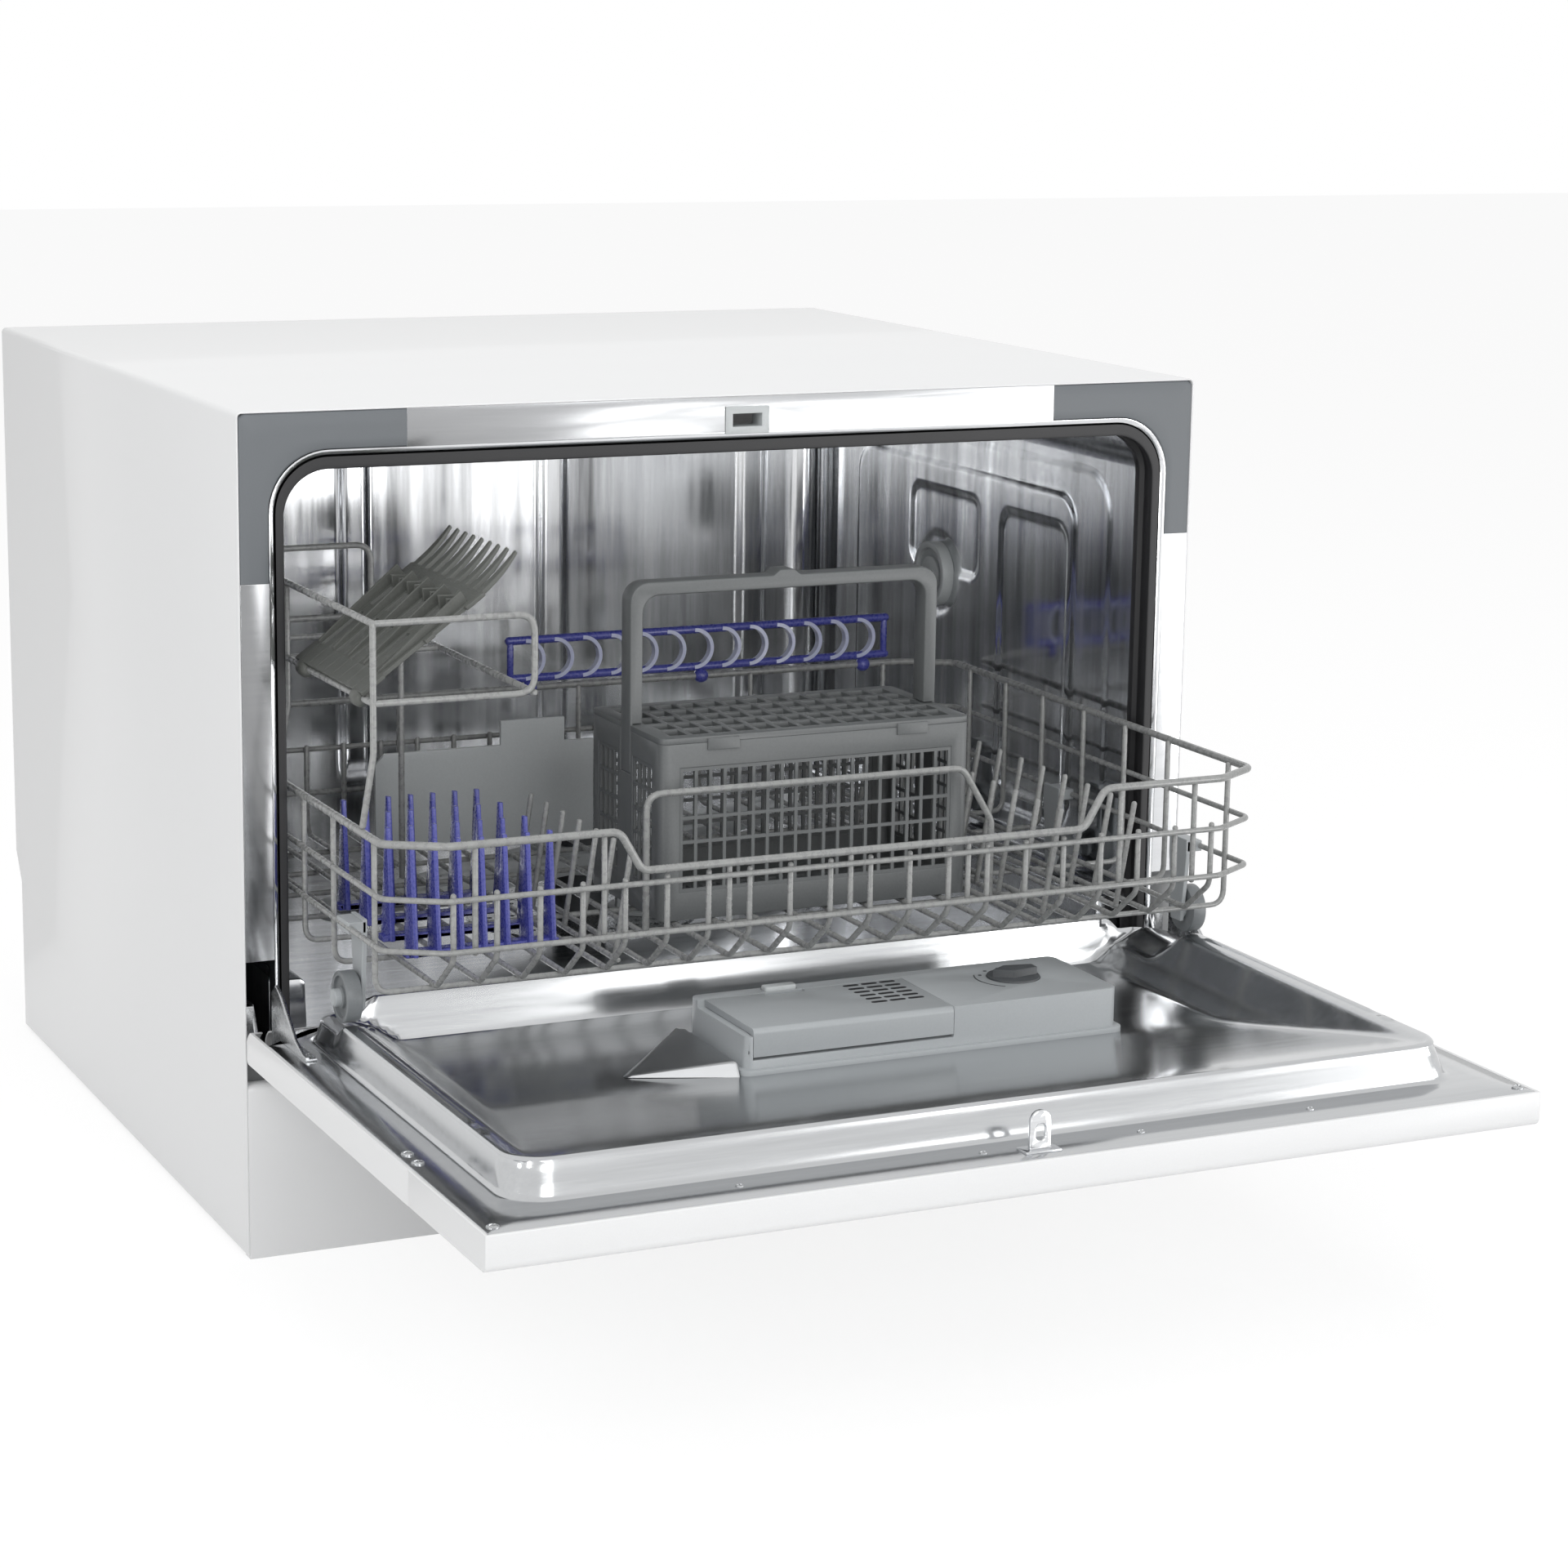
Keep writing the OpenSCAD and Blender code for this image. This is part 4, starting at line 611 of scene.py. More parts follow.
def frame_corner(side):
    """inner + (outer - inner)·share for a list of (share, depth); both lines have as many points."""
    a = np.linspace(math.pi / 2, 0, 22)
    r = TUB_R + LIP
    arc = np.column_stack([TUB_X - TUB_R + r * np.cos(a), SHOULDER + r * np.sin(a)])
    inner = np.vstack([np.column_stack([np.linspace(FRAME_IN, arc[0, 0], 10)[:-1], np.full(9, TUB_TOP + LIP)]),
                       arc,
                       np.column_stack([np.full(9, TUB_X + LIP), np.linspace(SHOULDER, FRAME_LOW, 10)[1:]])])
    corner = soft_path([(FRAME_IN, FRAME_TOP, 0), (FRAME_OUT, FRAME_TOP, 0), (FRAME_OUT, FRAME_LOW, 0)], 2.5)
    reach = np.concatenate([[0], np.cumsum(np.linalg.norm(np.diff(corner, axis=0), axis=1))])
    turn = np.interp(np.linspace(0, 1, len(inner)), [0, 9 / 39, 0.5, 30 / 39, 1],
                     [0, 44, 87, 130, reach[-1]])
    outer = np.column_stack([np.interp(turn, reach, corner[:, 0]), np.interp(turn, reach, corner[:, 1])])
    stations = ((0, FRAME_DEPTH), (0, 1.2), (0.02, 0.35), (0.05, 0), (0.3, 0), (0.6, 0), (0.95, 0),
                (0.98, 0.35), (1, 1.2), (1, FRAME_DEPTH))
    grid = np.stack([at_depth(inner + (outer - inner) * share, y) for share, y in stations]) * (side, 1, 1)
    faces = grid_faces(*grid.shape[:2])
    return grid, faces if side > 0 else faces[:, ::-1]


for side, end in SIDES:
    place(f"frame_corner_{end}_moulded", *frame_corner(side), "cabinet", "frame_grey", [f"frame_corner_{end}"])

# %% [markdown]
# ## The door liner
#
# The inner face of the door is one pressing: a flat flange, a wall that rises to a crest, and inside it a
# dish that falls gently from the front edge to the foot of the dispenser. It is built as rings: rounded
# rectangles with the same number of points, each with its height. Outside the crest the heights follow the
# section of the wall. Inside, they come from a height function, the smooth minimum of four slopes and a floor.

# %% Liner
FLANGE_Z, CREST_Z, DISH_Z = 123.4, 141.0, 118.0
FLANGE = np.array([-273.0, -342.4, 273.0, -9.4])
FOOT = np.array([-249.8, -311.4, 249.8, -19.4])
CREST = np.array([-247.5, -305.4, 247.5, -21.7])
DISH_TOP = np.array([-238.0, -299.0, 238.0, -25.4])
DISH_LOW = np.array([-205.0, -163.0, 205.0, -30.4])
OUTWARD = np.array([-1.0, -1.0, 1.0, 1.0])
HINGE_SLOT = (261.5, -33.2)
WHEEL_DIP = 6.6 / (CREST_Z - FLANGE_Z)


def dish(x, y):
    """Crest height less the dish depth times a share: the smooth minimum of how far the point has come down
    each of the four slopes, and 1 on the floor. A smooth minimum is -k·log(sum of exp(-t/k))."""
    k = 0.045
    shares = [(at - top) / (low - top) for at, top, low in zip((x, y, x, y), DISH_TOP, DISH_LOW)] + [1 + 0 * x]
    least = -k * np.log(sum(np.exp(-np.clip(t, -1, 3) / k) for t in shares))
    share = k * np.log(1 + np.exp(np.clip(least, -1, 1) / k))
    rib = ease(2.2 - np.abs(np.abs(x) - 243.6), 0, 1.2) * ease(y, -246, -241) * (1 - ease(y, -87, -83))
    oval = ease(1 - np.hypot((np.abs(x) - 243.6) / 3.2, (y + 257) / 6.5), 0, 0.5)
    return CREST_Z - (CREST_Z - DISH_Z) * np.clip(share, 0, 1) + 1.0 * rib + 0.9 * oval


def liner():
    """Stacks the rings from the flange's edge to the middle of the dish, then lowers the wheel passages."""
    rings = [(FLANGE, 2.0, FLANGE_Z - 1.3), (FLANGE, 2.0, FLANGE_Z - 0.3),
             (FLANGE - 0.4 * OUTWARD, 2.0, FLANGE_Z), (FOOT + 8 * OUTWARD, 20.0, FLANGE_Z),
             (FOOT + 3.2 * OUTWARD, 20.0, FLANGE_Z)]
    for a in np.radians((20, 45, 70, 90)):
        rings.append((FOOT + 3 * (1 - math.sin(a)) * OUTWARD, 20.0, FLANGE_Z + 3 * (1 - math.cos(a))))
    for share in (0.35, 0.7, 1.0):
        rings.append((FOOT + (CREST - FOOT) * share, 20.0, FLANGE_Z + 3 + share * 12.2))
    for a in np.radians((18, 36, 54, 72, 90)):
        rings.append((CREST - 2.4 * (1 - math.cos(a)) * OUTWARD, 19.0, CREST_Z - 2.4 + 2.4 * math.sin(a)))
    inner_box, middle = CREST - 2.4 * OUTWARD, np.array([-120.0, -158.0, 120.0, -150.0])
    for share in np.concatenate([np.linspace(0, 0.35, 40)[1:], np.linspace(0.35, 1, 44)[1:]]):
        rings.append((inner_box + (middle - inner_box) * share, 17 - 14 * share, None))
    grid = []
    for number, (box, r, z) in enumerate(rings):
        flat = rounded_box(*box, r)
        height = dish(flat[:, 0], flat[:, 1]) if z is None else np.full(len(flat), z)
        if number < 3:
            slot = (np.abs(flat[:, 0]) > HINGE_SLOT[0]) & (flat[:, 1] > HINGE_SLOT[1])
            flat[slot, 1] = HINGE_SLOT[1]
        grid.append(np.column_stack([flat, height]))
    grid = np.array(grid)
    passage = np.interp(grid[..., 1], [-71.9, -62.4], [0, 1]) * ease(np.abs(grid[..., 0]), 216, 223)
    raised = np.maximum(grid[..., 2] - FLANGE_Z, 0)
    grid[..., 2] -= raised * WHEEL_DIP * passage
    faces = grid_faces(*grid.shape[:2], wrap_cols=True).tolist()
    count = grid.shape[1]
    faces.append(list(range(grid.shape[0] * count - count, grid.shape[0] * count)))
    return grid, faces


place("door_liner_pressed", *liner(), "door", "liner_steel", ["door_liner"], sharp=50)

# %% Ramp beside the dispenser
def ramp():
    """Two outlines at two heights: a wide three-cornered foot, and a narrow crest along the dispenser."""
    x, low, high = -69.6, DISH_Z + 0.3, DISH_Z + 7.5
    foot = [(x - 55, -136, low), (x, -158, low), (x, -84, low)]
    crest = [(x - 50, -136, low + 1.1)]
    crest += [(x + u, y, high) for u, y in ((-4, -152), (0, -154), (0, -88), (-4, -90))]
    return foot + crest, [(0, 1, 5, 4, 3), (1, 2, 6, 5), (2, 0, 3, 7, 6), (3, 4, 7), (4, 5, 6, 7)]


soften(place("dispenser_ramp", *ramp(), "door", "ramp_steel", sharp=20, merge=True), 1.5, 3)

# %% [markdown]
# ## The rack
#
# The rack is coated steel wire. The rail and two rings run right round it and bend softly at the chamfered
# corners; the rail dips at the front for easy loading. U-shaped wires make the floor and rise at the front
# and rear, and wider ones cross under them and rise at the sides. Every wire is a circle carried along its
# own path, and all of them become one mesh, because they are welded together on the real rack.

# %% Rack sizes
RACK_X, FRONT_X, RACK_FRONT, RACK_REAR = 243.5, 216.0, -138.0, 230.0
CHAMFER_Y, RAIL_Z, FLOOR_WIRE, RAIL_D, WIRE_D = 17.0, 243.5, 168.0, 4.0, 3.0
RINGS = (216.5, 191.0)
CROSS_Z, CROSS_YS = 165.4, (-104.0, -42.0, 4.5, 51.0, 99.0, 144.0, 189.0)
DIP = (-127.0, 145.0, 12.0, 20.5)
LEG_FRONT, LEG_REAR, FLOOR_FRONT = -135.4, 227.4, -112.0


def floor_x(k):
    """Place of the k-th of twenty floor wires."""
    return -FRONT_X + 4 + k * (2 * FRONT_X - 8) / 19


def around(z, dip=False):
    """Corners of a loop round the rack at one height, with the dip at the front if asked."""
    x0, x1, slope, drop = DIP
    front = [(x0, RACK_FRONT, z), (x0 + slope, RACK_FRONT, z - drop), (x1 - slope, RACK_FRONT, z - drop),
             (x1, RACK_FRONT, z)] if dip else []
    return [(-RACK_X, RACK_FRONT + CHAMFER_Y, z), (-FRONT_X, RACK_FRONT, z), *front, (FRONT_X, RACK_FRONT, z),
            (RACK_X, RACK_FRONT + CHAMFER_Y, z), (RACK_X, RACK_REAR - CHAMFER_Y, z), (FRONT_X, RACK_REAR, z),
            (-FRONT_X, RACK_REAR, z), (-RACK_X, RACK_REAR - CHAMFER_Y, z)]


# %% Rack wires
def rack_wires():
    """Loops, floor wires, cross wires and uprights as one list of tubes."""
    tubes = [wire(soft_path(around(RAIL_Z, True), 8, closed=True), RAIL_D, closed=True, sides=14)]
    tubes += [wire(soft_path(around(z), 8, closed=True), WIRE_D, closed=True, sides=12) for z in RINGS]
    top = RINGS[0] + 3
    for k in range(20):
        x = floor_x(k)
        bent = [(x, LEG_FRONT, top), (x, LEG_FRONT, 186), (x, FLOOR_FRONT, FLOOR_WIRE),
                (x, LEG_REAR, FLOOR_WIRE), (x, LEG_REAR, top)]
        tubes.append(wire(soft_path(bent, 9), WIRE_D, ref=(1, 0, 0)))
    inside = RACK_X - 2.6
    for y in CROSS_YS:
        trough = [(-inside, y, RAIL_Z), (-inside, y, CROSS_Z), (inside, y, CROSS_Z), (inside, y, RAIL_Z)]
        tubes.append(wire(soft_path(trough, 8), WIRE_D, ref=(0, 1, 0)))
    low = RINGS[1] - 3
    uprights = [(LEG_FRONT, RAIL_Z, (0.5, 3.5, 16.5, 18.5)), (LEG_FRONT, RAIL_Z - DIP[3], (6.5, 9.5, 12.5)),
                (LEG_REAR, RAIL_Z, (0.5, 4.5, 9.5, 14.5, 18.5))]
    for y, high, places in uprights:
        tubes += [wire([(floor_x(k), y, z) for z in (low, low + 10, high)], WIRE_D, ref=(1, 0, 0))
                  for k in places]
    return joined(tubes)


place("rack_wirework", *rack_wires(), "rack", "coated_wire",
      ["rack_floor", "rack_left", "rack_right", "rack_front", "rack_rear"])

# %% [markdown]
# ## Wheel carriers
#
# Each wheel turns on a moulded carrier that grips the lower ring: a tapered plate beside the wheel, a saddle
# over the wire and a short axle. The plate is an outline pushed sideways.

# %% Wheel carriers
WHEEL_YS, WHEEL_Z, WHEEL_X, WHEEL_W, AXLE_R = (-66.0, 75.0, 213.0), 154.3, 242.5, 8.0, 3.0


def prism(outline, low, high):
    """A slab on its side: the outline of (y, z) points at two x places."""
    points, faces = slab(outline, low, high)
    return [(x, y, z) for y, z, x in points], [f[::-1] for f in faces]


def carrier(side, y):
    """Plate, saddle, axle with its shoulder and its end cap."""
    low, ring = 234.7, RINGS[1]
    plate = prism([(y - 5, WHEEL_Z - 6), (y + 5, WHEEL_Z - 6), (y + 9, ring - 6), (y + 9, ring + 4),
                   (y - 9, ring + 4), (y - 9, ring - 6)], low, low + 2.5)
    saddle = prism([(y + u, ring + v) for u, v in ((-9, -3), (9, -3), (9, 3), (-9, 3))], low + 0.5, RACK_X + 1)
    rods = (((low + 1, WHEEL_X, WHEEL_X + WHEEL_W / 2 + 0.4), 0),
            ((WHEEL_X + 4.3, WHEEL_X + 4.9, WHEEL_X + 5.5), 3), ((low + 1, low + 2, WHEEL_X - 4.3), 4.4))
    turned = [wire([(x, y, WHEEL_Z) for x in xs], 2 * AXLE_R + wider, sides=24) for xs, wider in rods]
    points, faces = joined([plate, saddle, *turned])
    points[:, 0] *= side
    return points, faces if side > 0 else [f[::-1] for f in faces]


carriers = joined([carrier(s, y) for s in (-1, 1) for y in WHEEL_YS])
soften(place("wheel_carriers", *carriers, "rack", "dispenser_grey", merge=True), 0.4)

# %% [markdown]
# ## Plate tines and the basket's stop
#
# Rows of leaning tines stand on base wires along the rack, and a bent loop in front keeps the cutlery basket
# in its place.

# %% Tines
TINE_LEAN, TINE_H, STOP_Y, FOOT_Z = (6.0, -6.0), 58.0, -57, 169.4


def tine_row(x, y0, y1, count):
    """A base wire and evenly spaced tines that lean to the right and to the front."""
    row = [wire([(x, y, FLOOR_WIRE) for y in (y0 - 5, y0, y1 + 5)], WIRE_D, ref=(1, 0, 0))]
    for y in np.linspace(y0, y1, count):
        foot = np.array([x, y, FLOOR_WIRE])
        tip = foot + (*TINE_LEAN, TINE_H)
        row.append(wire([foot, (foot + tip) / 2, tip], WIRE_D, ref=(0, 1, 0)))
    return row


tines = []
for k, y1, count in ((15.5, 201, 13), (17.5, 201, 13), (4.5, 40, 7)):
    tines += tine_row(floor_x(k), -96, y1, count)
stop_x = (floor_x(6), floor_x(15) - 18)
stop = soft_path([(x, STOP_Y, z) for x, z in ((stop_x[0], FOOT_Z), (stop_x[0], 241.5), (stop_x[1], 241.5),
                                               (stop_x[1] + 18, 211.5), (stop_x[1] + 18, FOOT_Z))], 9)
tines.append(wire(stop, 3.6, ref=(0, 1, 0), sides=12))
place("plate_tine_rows", *joined(tines), "rack", "coated_wire", ["plate_tines"])

# %% [markdown]
# ## Cup shelf, comb tray and glass holder
#
# The shelf is another wire frame, hung on the left rail. The blue holder clips onto the rear rail; its
# D-shaped arcs are flat bands, so that light catches their edges.

# %% Cup shelf
SHELF_X0, SHELF_X1, SHELF_Y0, SHELF_Y1, SHELF_Z, SHELF_TOP = -237.5, -154.5, -95.0, 150.0, 306.5, 345.5
SHELF_D = 3.4
shelf = []
for y in (SHELF_Y0, SHELF_Y1):
    hoop = [(SHELF_X0, y, SHELF_TOP), (SHELF_X1, y, SHELF_TOP), (SHELF_X1, y, SHELF_Z), (SHELF_X0, y, SHELF_Z)]
    shelf.append(wire(soft_path(hoop, 9), SHELF_D, ref=(0, 1, 0), sides=12))
for x, z in ((SHELF_X0, SHELF_Z), (SHELF_X0, SHELF_TOP), (SHELF_X1, SHELF_Z)):
    shelf.append(wire([(x, SHELF_Y0 - 1, z), (x, 0, z), (x, SHELF_Y1 + 1, z)], SHELF_D, sides=12))
for y in (SHELF_Y0 + 135, SHELF_Y0 + 190):
    shelf.append(wire([(SHELF_X0, y, SHELF_Z), (-200, y, SHELF_Z), (SHELF_X1, y, SHELF_Z)], SHELF_D - 0.4))
for y in (SHELF_Y0 + 0.5, SHELF_Y0 + 135, SHELF_Y1 - 0.5):
    post = [(-RACK_X, y, RAIL_Z + 2), (SHELF_X0, y, SHELF_Z - 25), (SHELF_X0, y, SHELF_TOP + 1)]
    shelf.append(wire(soft_path(post, 30), SHELF_D, ref=(0, 1, 0)))
shelf.append(wire([(SHELF_X1 - 1.2, 98, z) for z in (FOOT_Z, 240, SHELF_Z)], SHELF_D, ref=(0, 1, 0)))
place("cup_shelf_wires", *joined(shelf), "rack", "coated_wire", ["cup_shelf_frame"])

# %% [markdown]
# ## Comb tray
#
# The tray folds on the shelf's low wire. It is a grid of ribs with a comb of teeth along its raised edge; the
# teeth narrow and curl up towards their tips. A rib or a tooth is a four-sided section whose width, height
# and thickness are functions of the way along it, in the tray's own tilted plane.

# %% Comb tray
TRAY_Y, TRAY_L, TRAY_TILT, TRAY_OFF, TEETH = (-85.0, 19.0), 104.0, math.radians(36), 2.4, 9


def tilted(u, y, w):
    """x = shelf + u·cos t - w·sin t, z = shelf + u·sin t + w·cos t, for the tray's tilt t."""
    c, s = math.cos(TRAY_TILT), math.sin(TRAY_TILT)
    return np.stack([SHELF_X0 + u * c - w * s, y + 0 * u, SHELF_Z + u * s + w * c], -1)


def rib(u, y, wide, low, thick):
    """Corners at y ± wide/2 and low, low + thick for every u: a bar whose size may change along it."""
    u = np.asarray(u, float)
    wide, low, thick, y = (np.broadcast_to(np.asarray(v, float), u.shape) for v in (wide, low, thick, y))
    rings = [tilted(u, y + a * wide / 2, low + b * thick) for a, b in ((-1, 0), (1, 0), (1, 1), (-1, 1))]
    return np.stack(rings, 1).reshape(-1, 3), bar_faces(len(u))


pitch = (TRAY_Y[1] - TRAY_Y[0]) / TEETH
middles = TRAY_Y[0] + pitch * (np.arange(TEETH) + 0.5)
along = np.linspace(76, TRAY_L, 9)
curl = ((along - 76) / (TRAY_L - 76)) ** 2
tray = [rib((0, 74), m, pitch - 4.2, TRAY_OFF, 2.4) for m in middles]
tray += [rib(span, sum(TRAY_Y) / 2, TRAY_Y[1] - TRAY_Y[0], TRAY_OFF + 0.1, 2.2)
         for span in ((0, 14), (40, 46), (66, 78))]
tray += [rib(along, m, 6.2 - 3.6 * curl, TRAY_OFF + 5 * curl, 2.4 - 0.8 * curl) for m in middles]
tray += [rib((14, 40, 70), m, 1.6, TRAY_OFF + 2, (1.5, 4.0, 6.5)) for m in middles[::2]]
tray += [rib((60, 63, 70), m + pitch / 2, 2.2, TRAY_OFF + 1.5, (1, 6.5, 1)) for m in middles[:-1]]
for y in (TRAY_Y[0] + 4, TRAY_Y[1] - 16):
    tray.append(wire([(SHELF_X0, y + step, SHELF_Z) for step in (0, 6, 12)], 9.6, sides=24))
comb = place("comb_tray_moulded", *joined(tray), "comb_tray_body", "tray_plastic", ["comb_tray"], sharp=30)
soften(comb, 0.35)

# %% Glass holder
def band(path, width, thick):
    """A flat strip along a path in the (x, z) plane, with corners path ± normal·thick/2 ± y·width/2."""
    path = np.asarray(path, float)
    along = np.gradient(path, axis=0)
    along /= np.linalg.norm(along, axis=1, keepdims=True)
    normal = np.cross(along, (0, 1, 0))
    across = np.array([0, width / 2, 0])
    corners = [path + normal * thick / 2 + across, path + normal * thick / 2 - across,
               path - normal * thick / 2 - across, path - normal * thick / 2 + across]
    return np.stack(corners, 1).reshape(-1, 3), bar_faces(len(path))


HOLDER_X, HOLDER_Z, HOLDER_R = (-45.0, 205.0), (249.2, 271.7), 11.25
bars = [wire([(x, RACK_REAR, z) for x in (HOLDER_X[0], 0, HOLDER_X[1])], 5, sides=16) for z in HOLDER_Z]
for x in (HOLDER_X[0] + 3, HOLDER_X[1] - 3):
    bars.append(wire([(x, RACK_REAR, z) for z in (HOLDER_Z[0], 260, HOLDER_Z[1])], 4, ref=(0, 1, 0)))
for x in (-30, 80, 188):
    bars.append(wire([(x + step, RACK_REAR, RAIL_Z) for step in (-4, 0, 4)], 8.4, sides=24))
place("holder_bars", *joined(bars), "glass_holder_body", "blue_plastic", ["glass_holder"])

a = np.linspace(-math.pi / 2, math.pi / 2, 17)
arcs = []
for k in range(13):
    middle = HOLDER_X[0] + 12 + 18 * k
    height = HOLDER_Z[0] + HOLDER_R + HOLDER_R * np.sin(a)
    path = np.column_stack([middle + HOLDER_R * np.cos(a), np.full(len(a), RACK_REAR), height])
    arcs.append(band(path, 5.0, 2.2))
place("holder_arcs", *joined(arcs), "glass_holder_body", "pale_blue", sharp=30, merge=True)

# %% [markdown]
# ## Moulded and folded parts
#
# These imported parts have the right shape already. Their copies get eased edges and a finish; the width of the
# bevel follows the real edge: wide on moulded plastic, narrow on folded sheet.

# %% Eased parts
EASED = {
    "white_paint": (("cabinet_wrap", 0.35), ("rear_panel", 0.3), ("plinth", 0.3), ("door_panel", 0.5)),
    "white_plastic": (("control_fascia", 0.7),),
    "bright_steel": (("latch_hook", 0.5),),
    "front_steel": (("frame_top_strip", 0.35), ("frame_columns", 0.35)),
    "plate_steel": [(f"hinge_{part}_{end}", 0.3) for part in ("arm", "bracket") for _, end in SIDES],
    "dispenser_grey": (("dispenser_body", 0.7), ("detergent_lid", 0.7)),
    "wheel_grey": [(f"wheel_{end}_{spot}", 0.5) for _, end in SIDES for spot in ("front", "mid", "rear")],
    "pale_grey": (("lid_release", 0.6), ("vent_cap", 0.6), ("spray_arm", 1.0), ("filter_cup", 0.4),
                  ("water_ports", 0.5), ("latch_strike", 0.3), ("rack_baffle", 0.5),
                  *((name + "_button", 0.4) for name in ("power", "program", "delay", "start"))),
    "dark_grey": (("rinse_cap", 0.6),),
    "basket_grey": (("basket_body", 0.5), ("basket_grid", 0.3), ("basket_handle", 0.9)),
    "blue_plastic": (("blue_tines", 0.5),),
}
for material, parts in EASED.items():
    for node, width in parts:
        eased(node, material, width)
print("eased:", sum(len(parts) for parts in EASED.values()))

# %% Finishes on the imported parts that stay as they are
KEPT = {"tub_floor": "bright_steel", "filter_plate": "plate_steel", "sump_pump": "dark_grey",
        "base_tray": "tray_grey", "feet": "rubber", "display_window": "black_glass",
        "basket_lattice": "basket_grey"}
for node, material in KEPT.items():
    for spot in nodes[node].material_slots:
        spot.material = FINISH[material]

# %% [markdown]
# ## Dispenser details
#
# The lid has rows of short slots at its right end, and the dial has a scale of raised dots and an arc beside
# it. Each slot is painted shade: a low dark plate with round ends that stands for the shadow in the slot.

# %% Dispenser details
def stadium(x, y, length, width):
    """Two half-circles of the slot's width, their middles length - width apart."""
    a = np.linspace(-math.pi / 2, math.pi / 2, 7)
    end = np.column_stack([np.cos(a), np.sin(a)]) * width / 2
    reach = (length - width) / 2
    return [(x + reach + u, y + v) for u, v in end] + [(x - reach - u, y - v) for u, v in end]


LID_Z = 141.4
# painted shade: each slot is a dark plate in the rubber finish, standing for the shadow inside the slot
slot_shadows = [slab(stadium(x, y, 9.0, 2.8), LID_Z - 1, LID_Z + 0.12)
         for x in (19, 29.5, 40) for y in np.linspace(-133, -100, 6)]
place("lid_slots", *joined(slot_shadows), "detergent_lid_body", "rubber")
DIAL = (106.0, -116.0)
turn = np.radians(np.linspace(150, 230, 15))


def by_dial(r, t):
    """The point at radius r and angle t from the dial's middle."""
    return DIAL[0] + r * math.cos(t), DIAL[1] + r * math.sin(t)


arc = [by_dial(r, t) for r, order in ((21, turn), (20.2, turn[::-1])) for t in order]
dots = [slab(stadium(*by_dial(17.5, t), 2.01, 2.0), LID_Z - 1, LID_Z + 0.2)
        for t in np.radians((30, 60, 90, 120, 150))]
place("dial_scale", *joined([slab(arc, LID_Z - 1, LID_Z + 0.15), *dots]), "door", "dark_grey")

# %% [markdown]
# ## Screws
#
# Pan-head screws hold the door's flange and the rear panel. A head is a dome over a disc of (radius, angle),
# and the cross is a smooth groove along two directions.

# %% Screws
def screw(centre, radius=3.0, height=1.5, facing="up"):
    """z = height·sqrt(1 - 0.8·s²) less the cross, for s = radius share; the rim drops to the sheet."""
    s = np.concatenate([np.linspace(0.02, 1, 9), [1.0]])
    t = np.linspace(0, 2 * math.pi, 32, endpoint=False)
    s, t = np.meshgrid(s, t, indexing="ij")
    x, y = radius * s * np.cos(t), radius * s * np.sin(t)
    z = height * np.sqrt(1 - 0.8 * s ** 2)
    z = z - 0.9 * ease(0.62 - s, 0, 0.1) * ease(0.34 - np.minimum(abs(x), abs(y)) / 1.2, 0, 0.1)
    z[-1] = -0.2
    local = np.stack([x, y, z], -1)
    if facing == "back":
        local = np.stack([-local[..., 0], local[..., 2], local[..., 1]], -1)
    faces = grid_faces(10, 32, wrap_cols=True)
    return (local + np.array(centre)).reshape(-1, 3), faces.tolist() + [list(range(32))[::-1]]


door_screws = [(s * 268, y, FLANGE_Z) for s in (-1, 1) for y in (-335, -240, -226)]
lip_screws = [(x, -325, FLANGE_Z) for x in (-147, -24, 60, 154)]
door_heads = joined([screw(c) for c in door_screws] + [screw(c, 2.0, 0.8) for c in lip_screws])
place("door_screws", *door_heads, "door", "plate_steel", merge=True)
panel_screws = [(s * x, 483.0, z) for s in (-1, 1) for x, z in ((262, 424), (262, 280), (262, 150), (90, 424))]
rear_heads = joined([screw(c, facing="back") for c in panel_screws])
place("rear_screws", *rear_heads, "cabinet", "plate_steel", merge=True)

# %% [markdown]
# ## Floor, light and the last check
#
# The machine stands on a plain white floor under a white sky. The camera, and anything that mirrors, sees
# white around it. The light on the object itself comes from a dimmer sky and large lamps, at a level at
# which a colour renders about as it is written. The front and right lamps show in mirrors, and so do narrow
# upright strips that light nothing else: they draw bright lines in the steel. They stand lower than the
# cabinet's top, so the top stays plain. Last, the box round the dressed object is measured against the packed
# one.

# %% Floor
def seen_or_mirrored(tree):
    """1 for a ray from the camera, a mirror or a glass, else 0: the larger of the three answers."""
    rays = tree.nodes.new("ShaderNodeLightPath")
    answer = rays.outputs["Is Camera Ray"]
    for kind in ("Is Glossy Ray", "Is Transmission Ray"):
        larger = tree.nodes.new("ShaderNodeMath")
        larger.operation = "MAXIMUM"
        tree.links.new(answer, larger.inputs[0])
        tree.links.new(rays.outputs[kind], larger.inputs[1])
        answer = larger.outputs[0]
    return answer


FLOOR_LIFT, FLOOR_GLOW, REACH = 0.72, 1.12, 9
paper = bpy.data.materials.new("paper_white")
paper.use_nodes = True
tree = paper.node_tree
link = tree.links.new
shader, surface = tree.nodes["Principled BSDF"], tree.nodes["Material Output"]
dial(shader, Base_Color=(0.88, 0.88, 0.88, 1), Roughness=0.9, Specular_IOR_Level=0.1)
glow, mixed, lift = (tree.nodes.new("ShaderNode" + kind) for kind in ("Emission", "MixShader", "Math"))
lift.operation = "MULTIPLY"
lift.inputs[1].default_value = FLOOR_LIFT
link(seen_or_mirrored(tree), lift.inputs[0])
link(lift.outputs[0], mixed.inputs["Fac"])
link(shader.outputs[0], mixed.inputs[1])
link(glow.outputs[0], mixed.inputs[2])
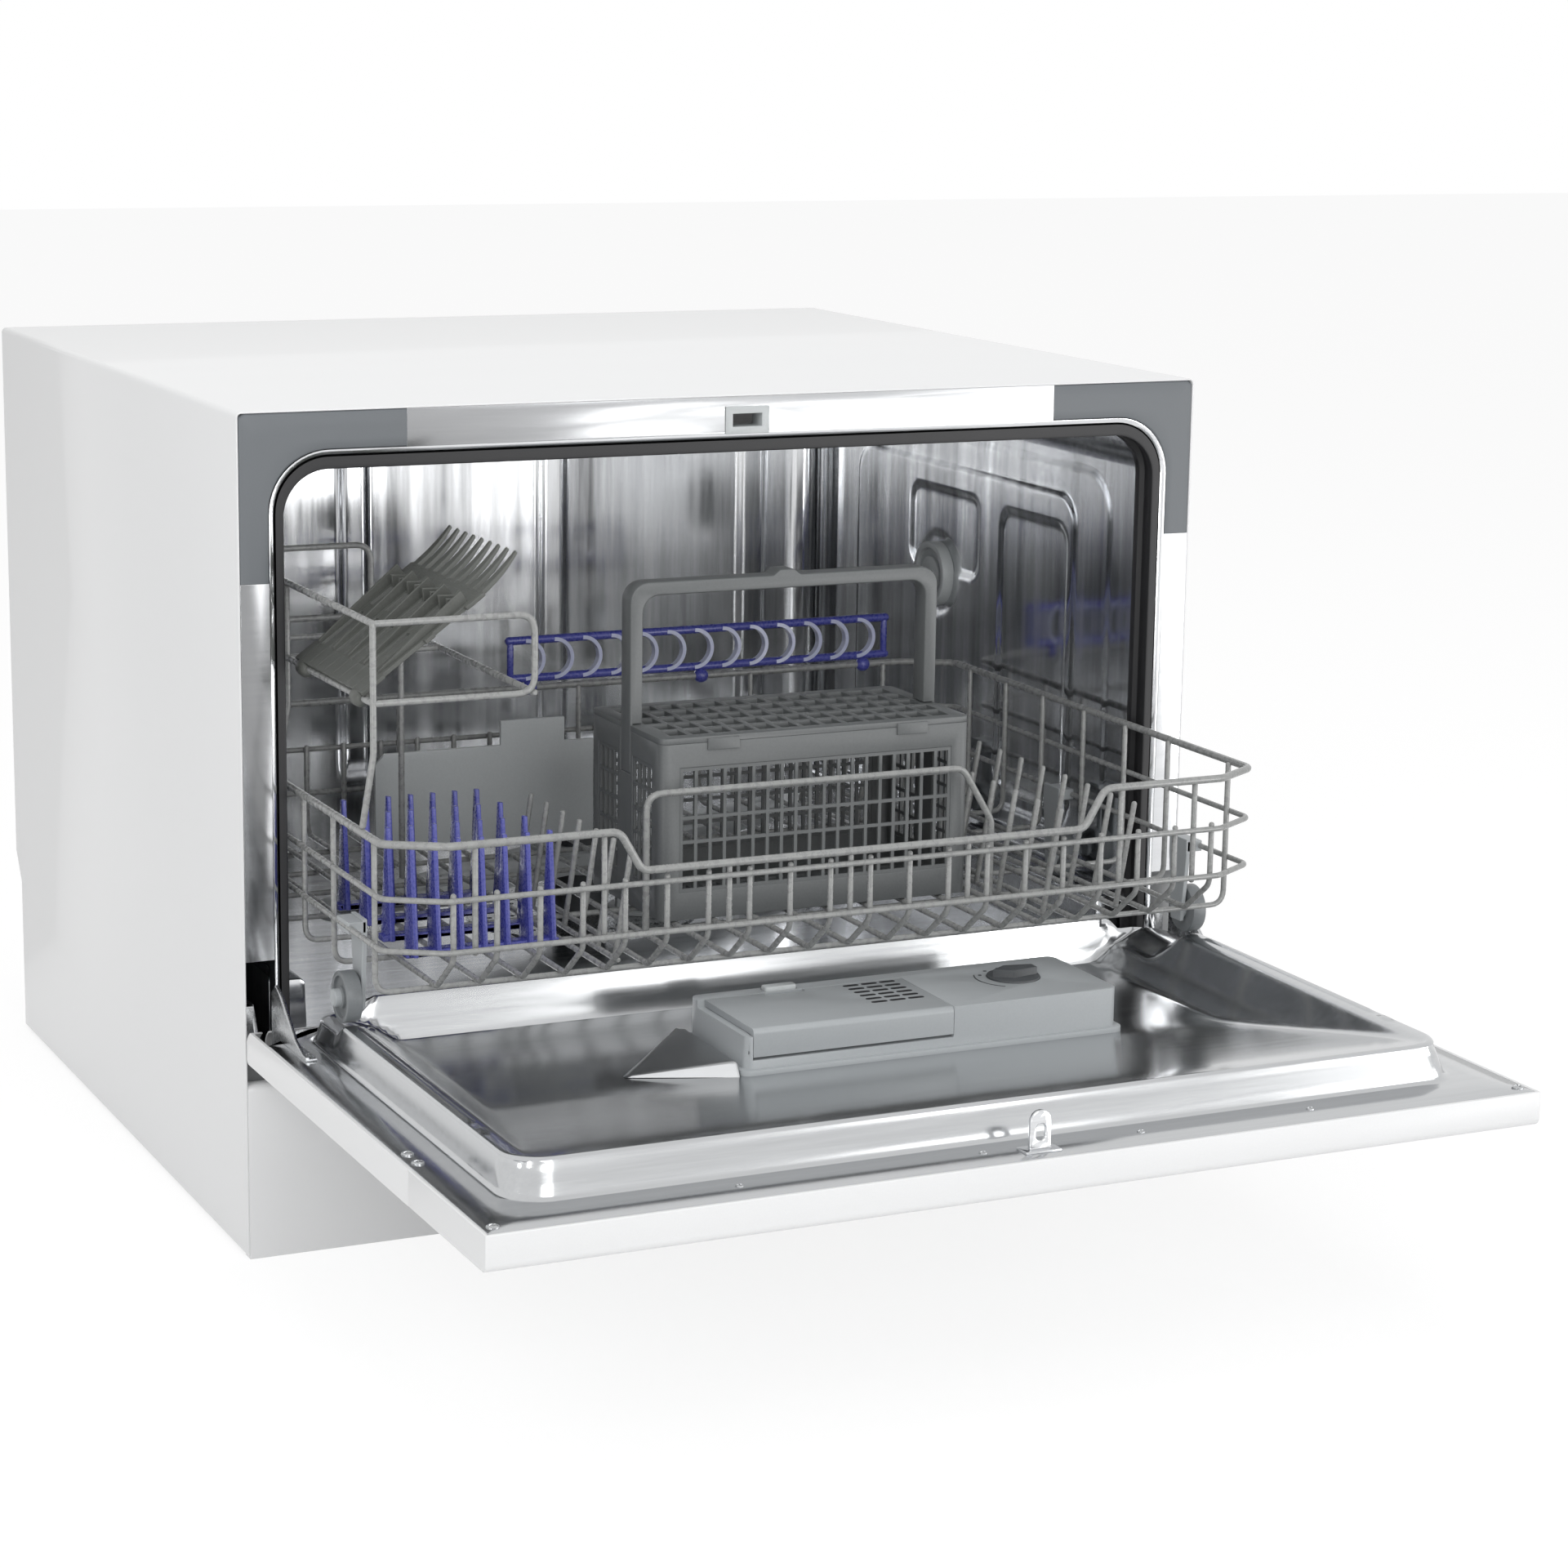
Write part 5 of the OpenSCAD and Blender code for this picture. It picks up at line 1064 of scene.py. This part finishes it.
link(mixed.outputs[0], surface.inputs["Surface"])
dial(glow, Strength=FLOOR_GLOW)

mesh = bpy.data.meshes.new("studio_floor")
mesh.from_pydata([(x, y, 0) for x, y in ((-REACH, -REACH), (REACH, -REACH), (REACH, REACH), (-REACH, REACH))],
                 [], [(0, 1, 2, 3)])
mesh.materials.append(paper)
studio = bpy.data.objects.new("studio_floor", mesh)
bpy.context.scene.collection.objects.link(studio)
studio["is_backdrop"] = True

# %% Light
world = bpy.data.worlds.new("soft_sky")
world.use_nodes = True
bpy.context.scene.world = world
sky = world.node_tree
SKY_LIGHT = 0.55
level_of = sky.nodes.new("ShaderNodeMapRange")
sky.links.new(seen_or_mirrored(sky), level_of.inputs["Value"])
dial(level_of, To_Min=SKY_LIGHT, To_Max=1.0)
dial(sky.nodes["Background"], Color=(1, 1, 1, 1))
sky.links.new(level_of.outputs["Result"], sky.nodes["Background"].inputs["Strength"])


def lamp(name, spot, target, size, watts, mirrored=False):
    """A rectangular area lamp at spot, turned so that it shines on target."""
    light = bpy.data.lights.new(name, "AREA")
    light.shape = "RECTANGLE"
    light.size, light.size_y, light.energy = *size, watts
    holder = bpy.data.objects.new(name, light)
    bpy.context.scene.collection.objects.link(holder)
    aim = (Vector(target) - Vector(spot)).to_track_quat("-Z", "Y").to_matrix().to_4x4()
    holder.matrix_world = Matrix.Translation(Vector(spot)) @ aim
    holder.visible_glossy = mirrored
    return holder


lamp("key_left", (-1.9, -1.6, 1.9), (0, 0.05, 0.2), (1.6, 1.6), 22)
lamp("fill_front", (-0.2, -2.5, 1.0), (0, 0.1, 0.2), (1.0, 1.0), 14, mirrored=True)
lamp("top", (0.2, 0.1, 2.6), (0, 0.1, 0.2), (1.8, 1.8), 14)
lamp("card_right", (2.3, -1.8, 0.8), (0, 0, 0.2), (1.6, 1.6), 9, mirrored=True)
STRIPS = ((0.42, -1.15, 0.72), (0.72, -0.95, 1.44), (1.2, -0.95, 1.56), (1.65, -0.6, 1.44),
          (-1.15, -1.25, 1.8), (-1.6, -0.8, 1.8))
for x, y, watts in STRIPS:
    strip = lamp("strip", (x, y, 0.21), (0, 0.4, 0.2), (0.1, 0.42), watts, mirrored=True)
    strip.visible_diffuse = False

scene = bpy.context.scene
scene.view_settings.view_transform = "Standard"

low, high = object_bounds()
growth = (np.subtract(high, low) - np.subtract(cad_high, cad_low)) / MM
print("box grows by", growth.round(1).tolist(), "mm")
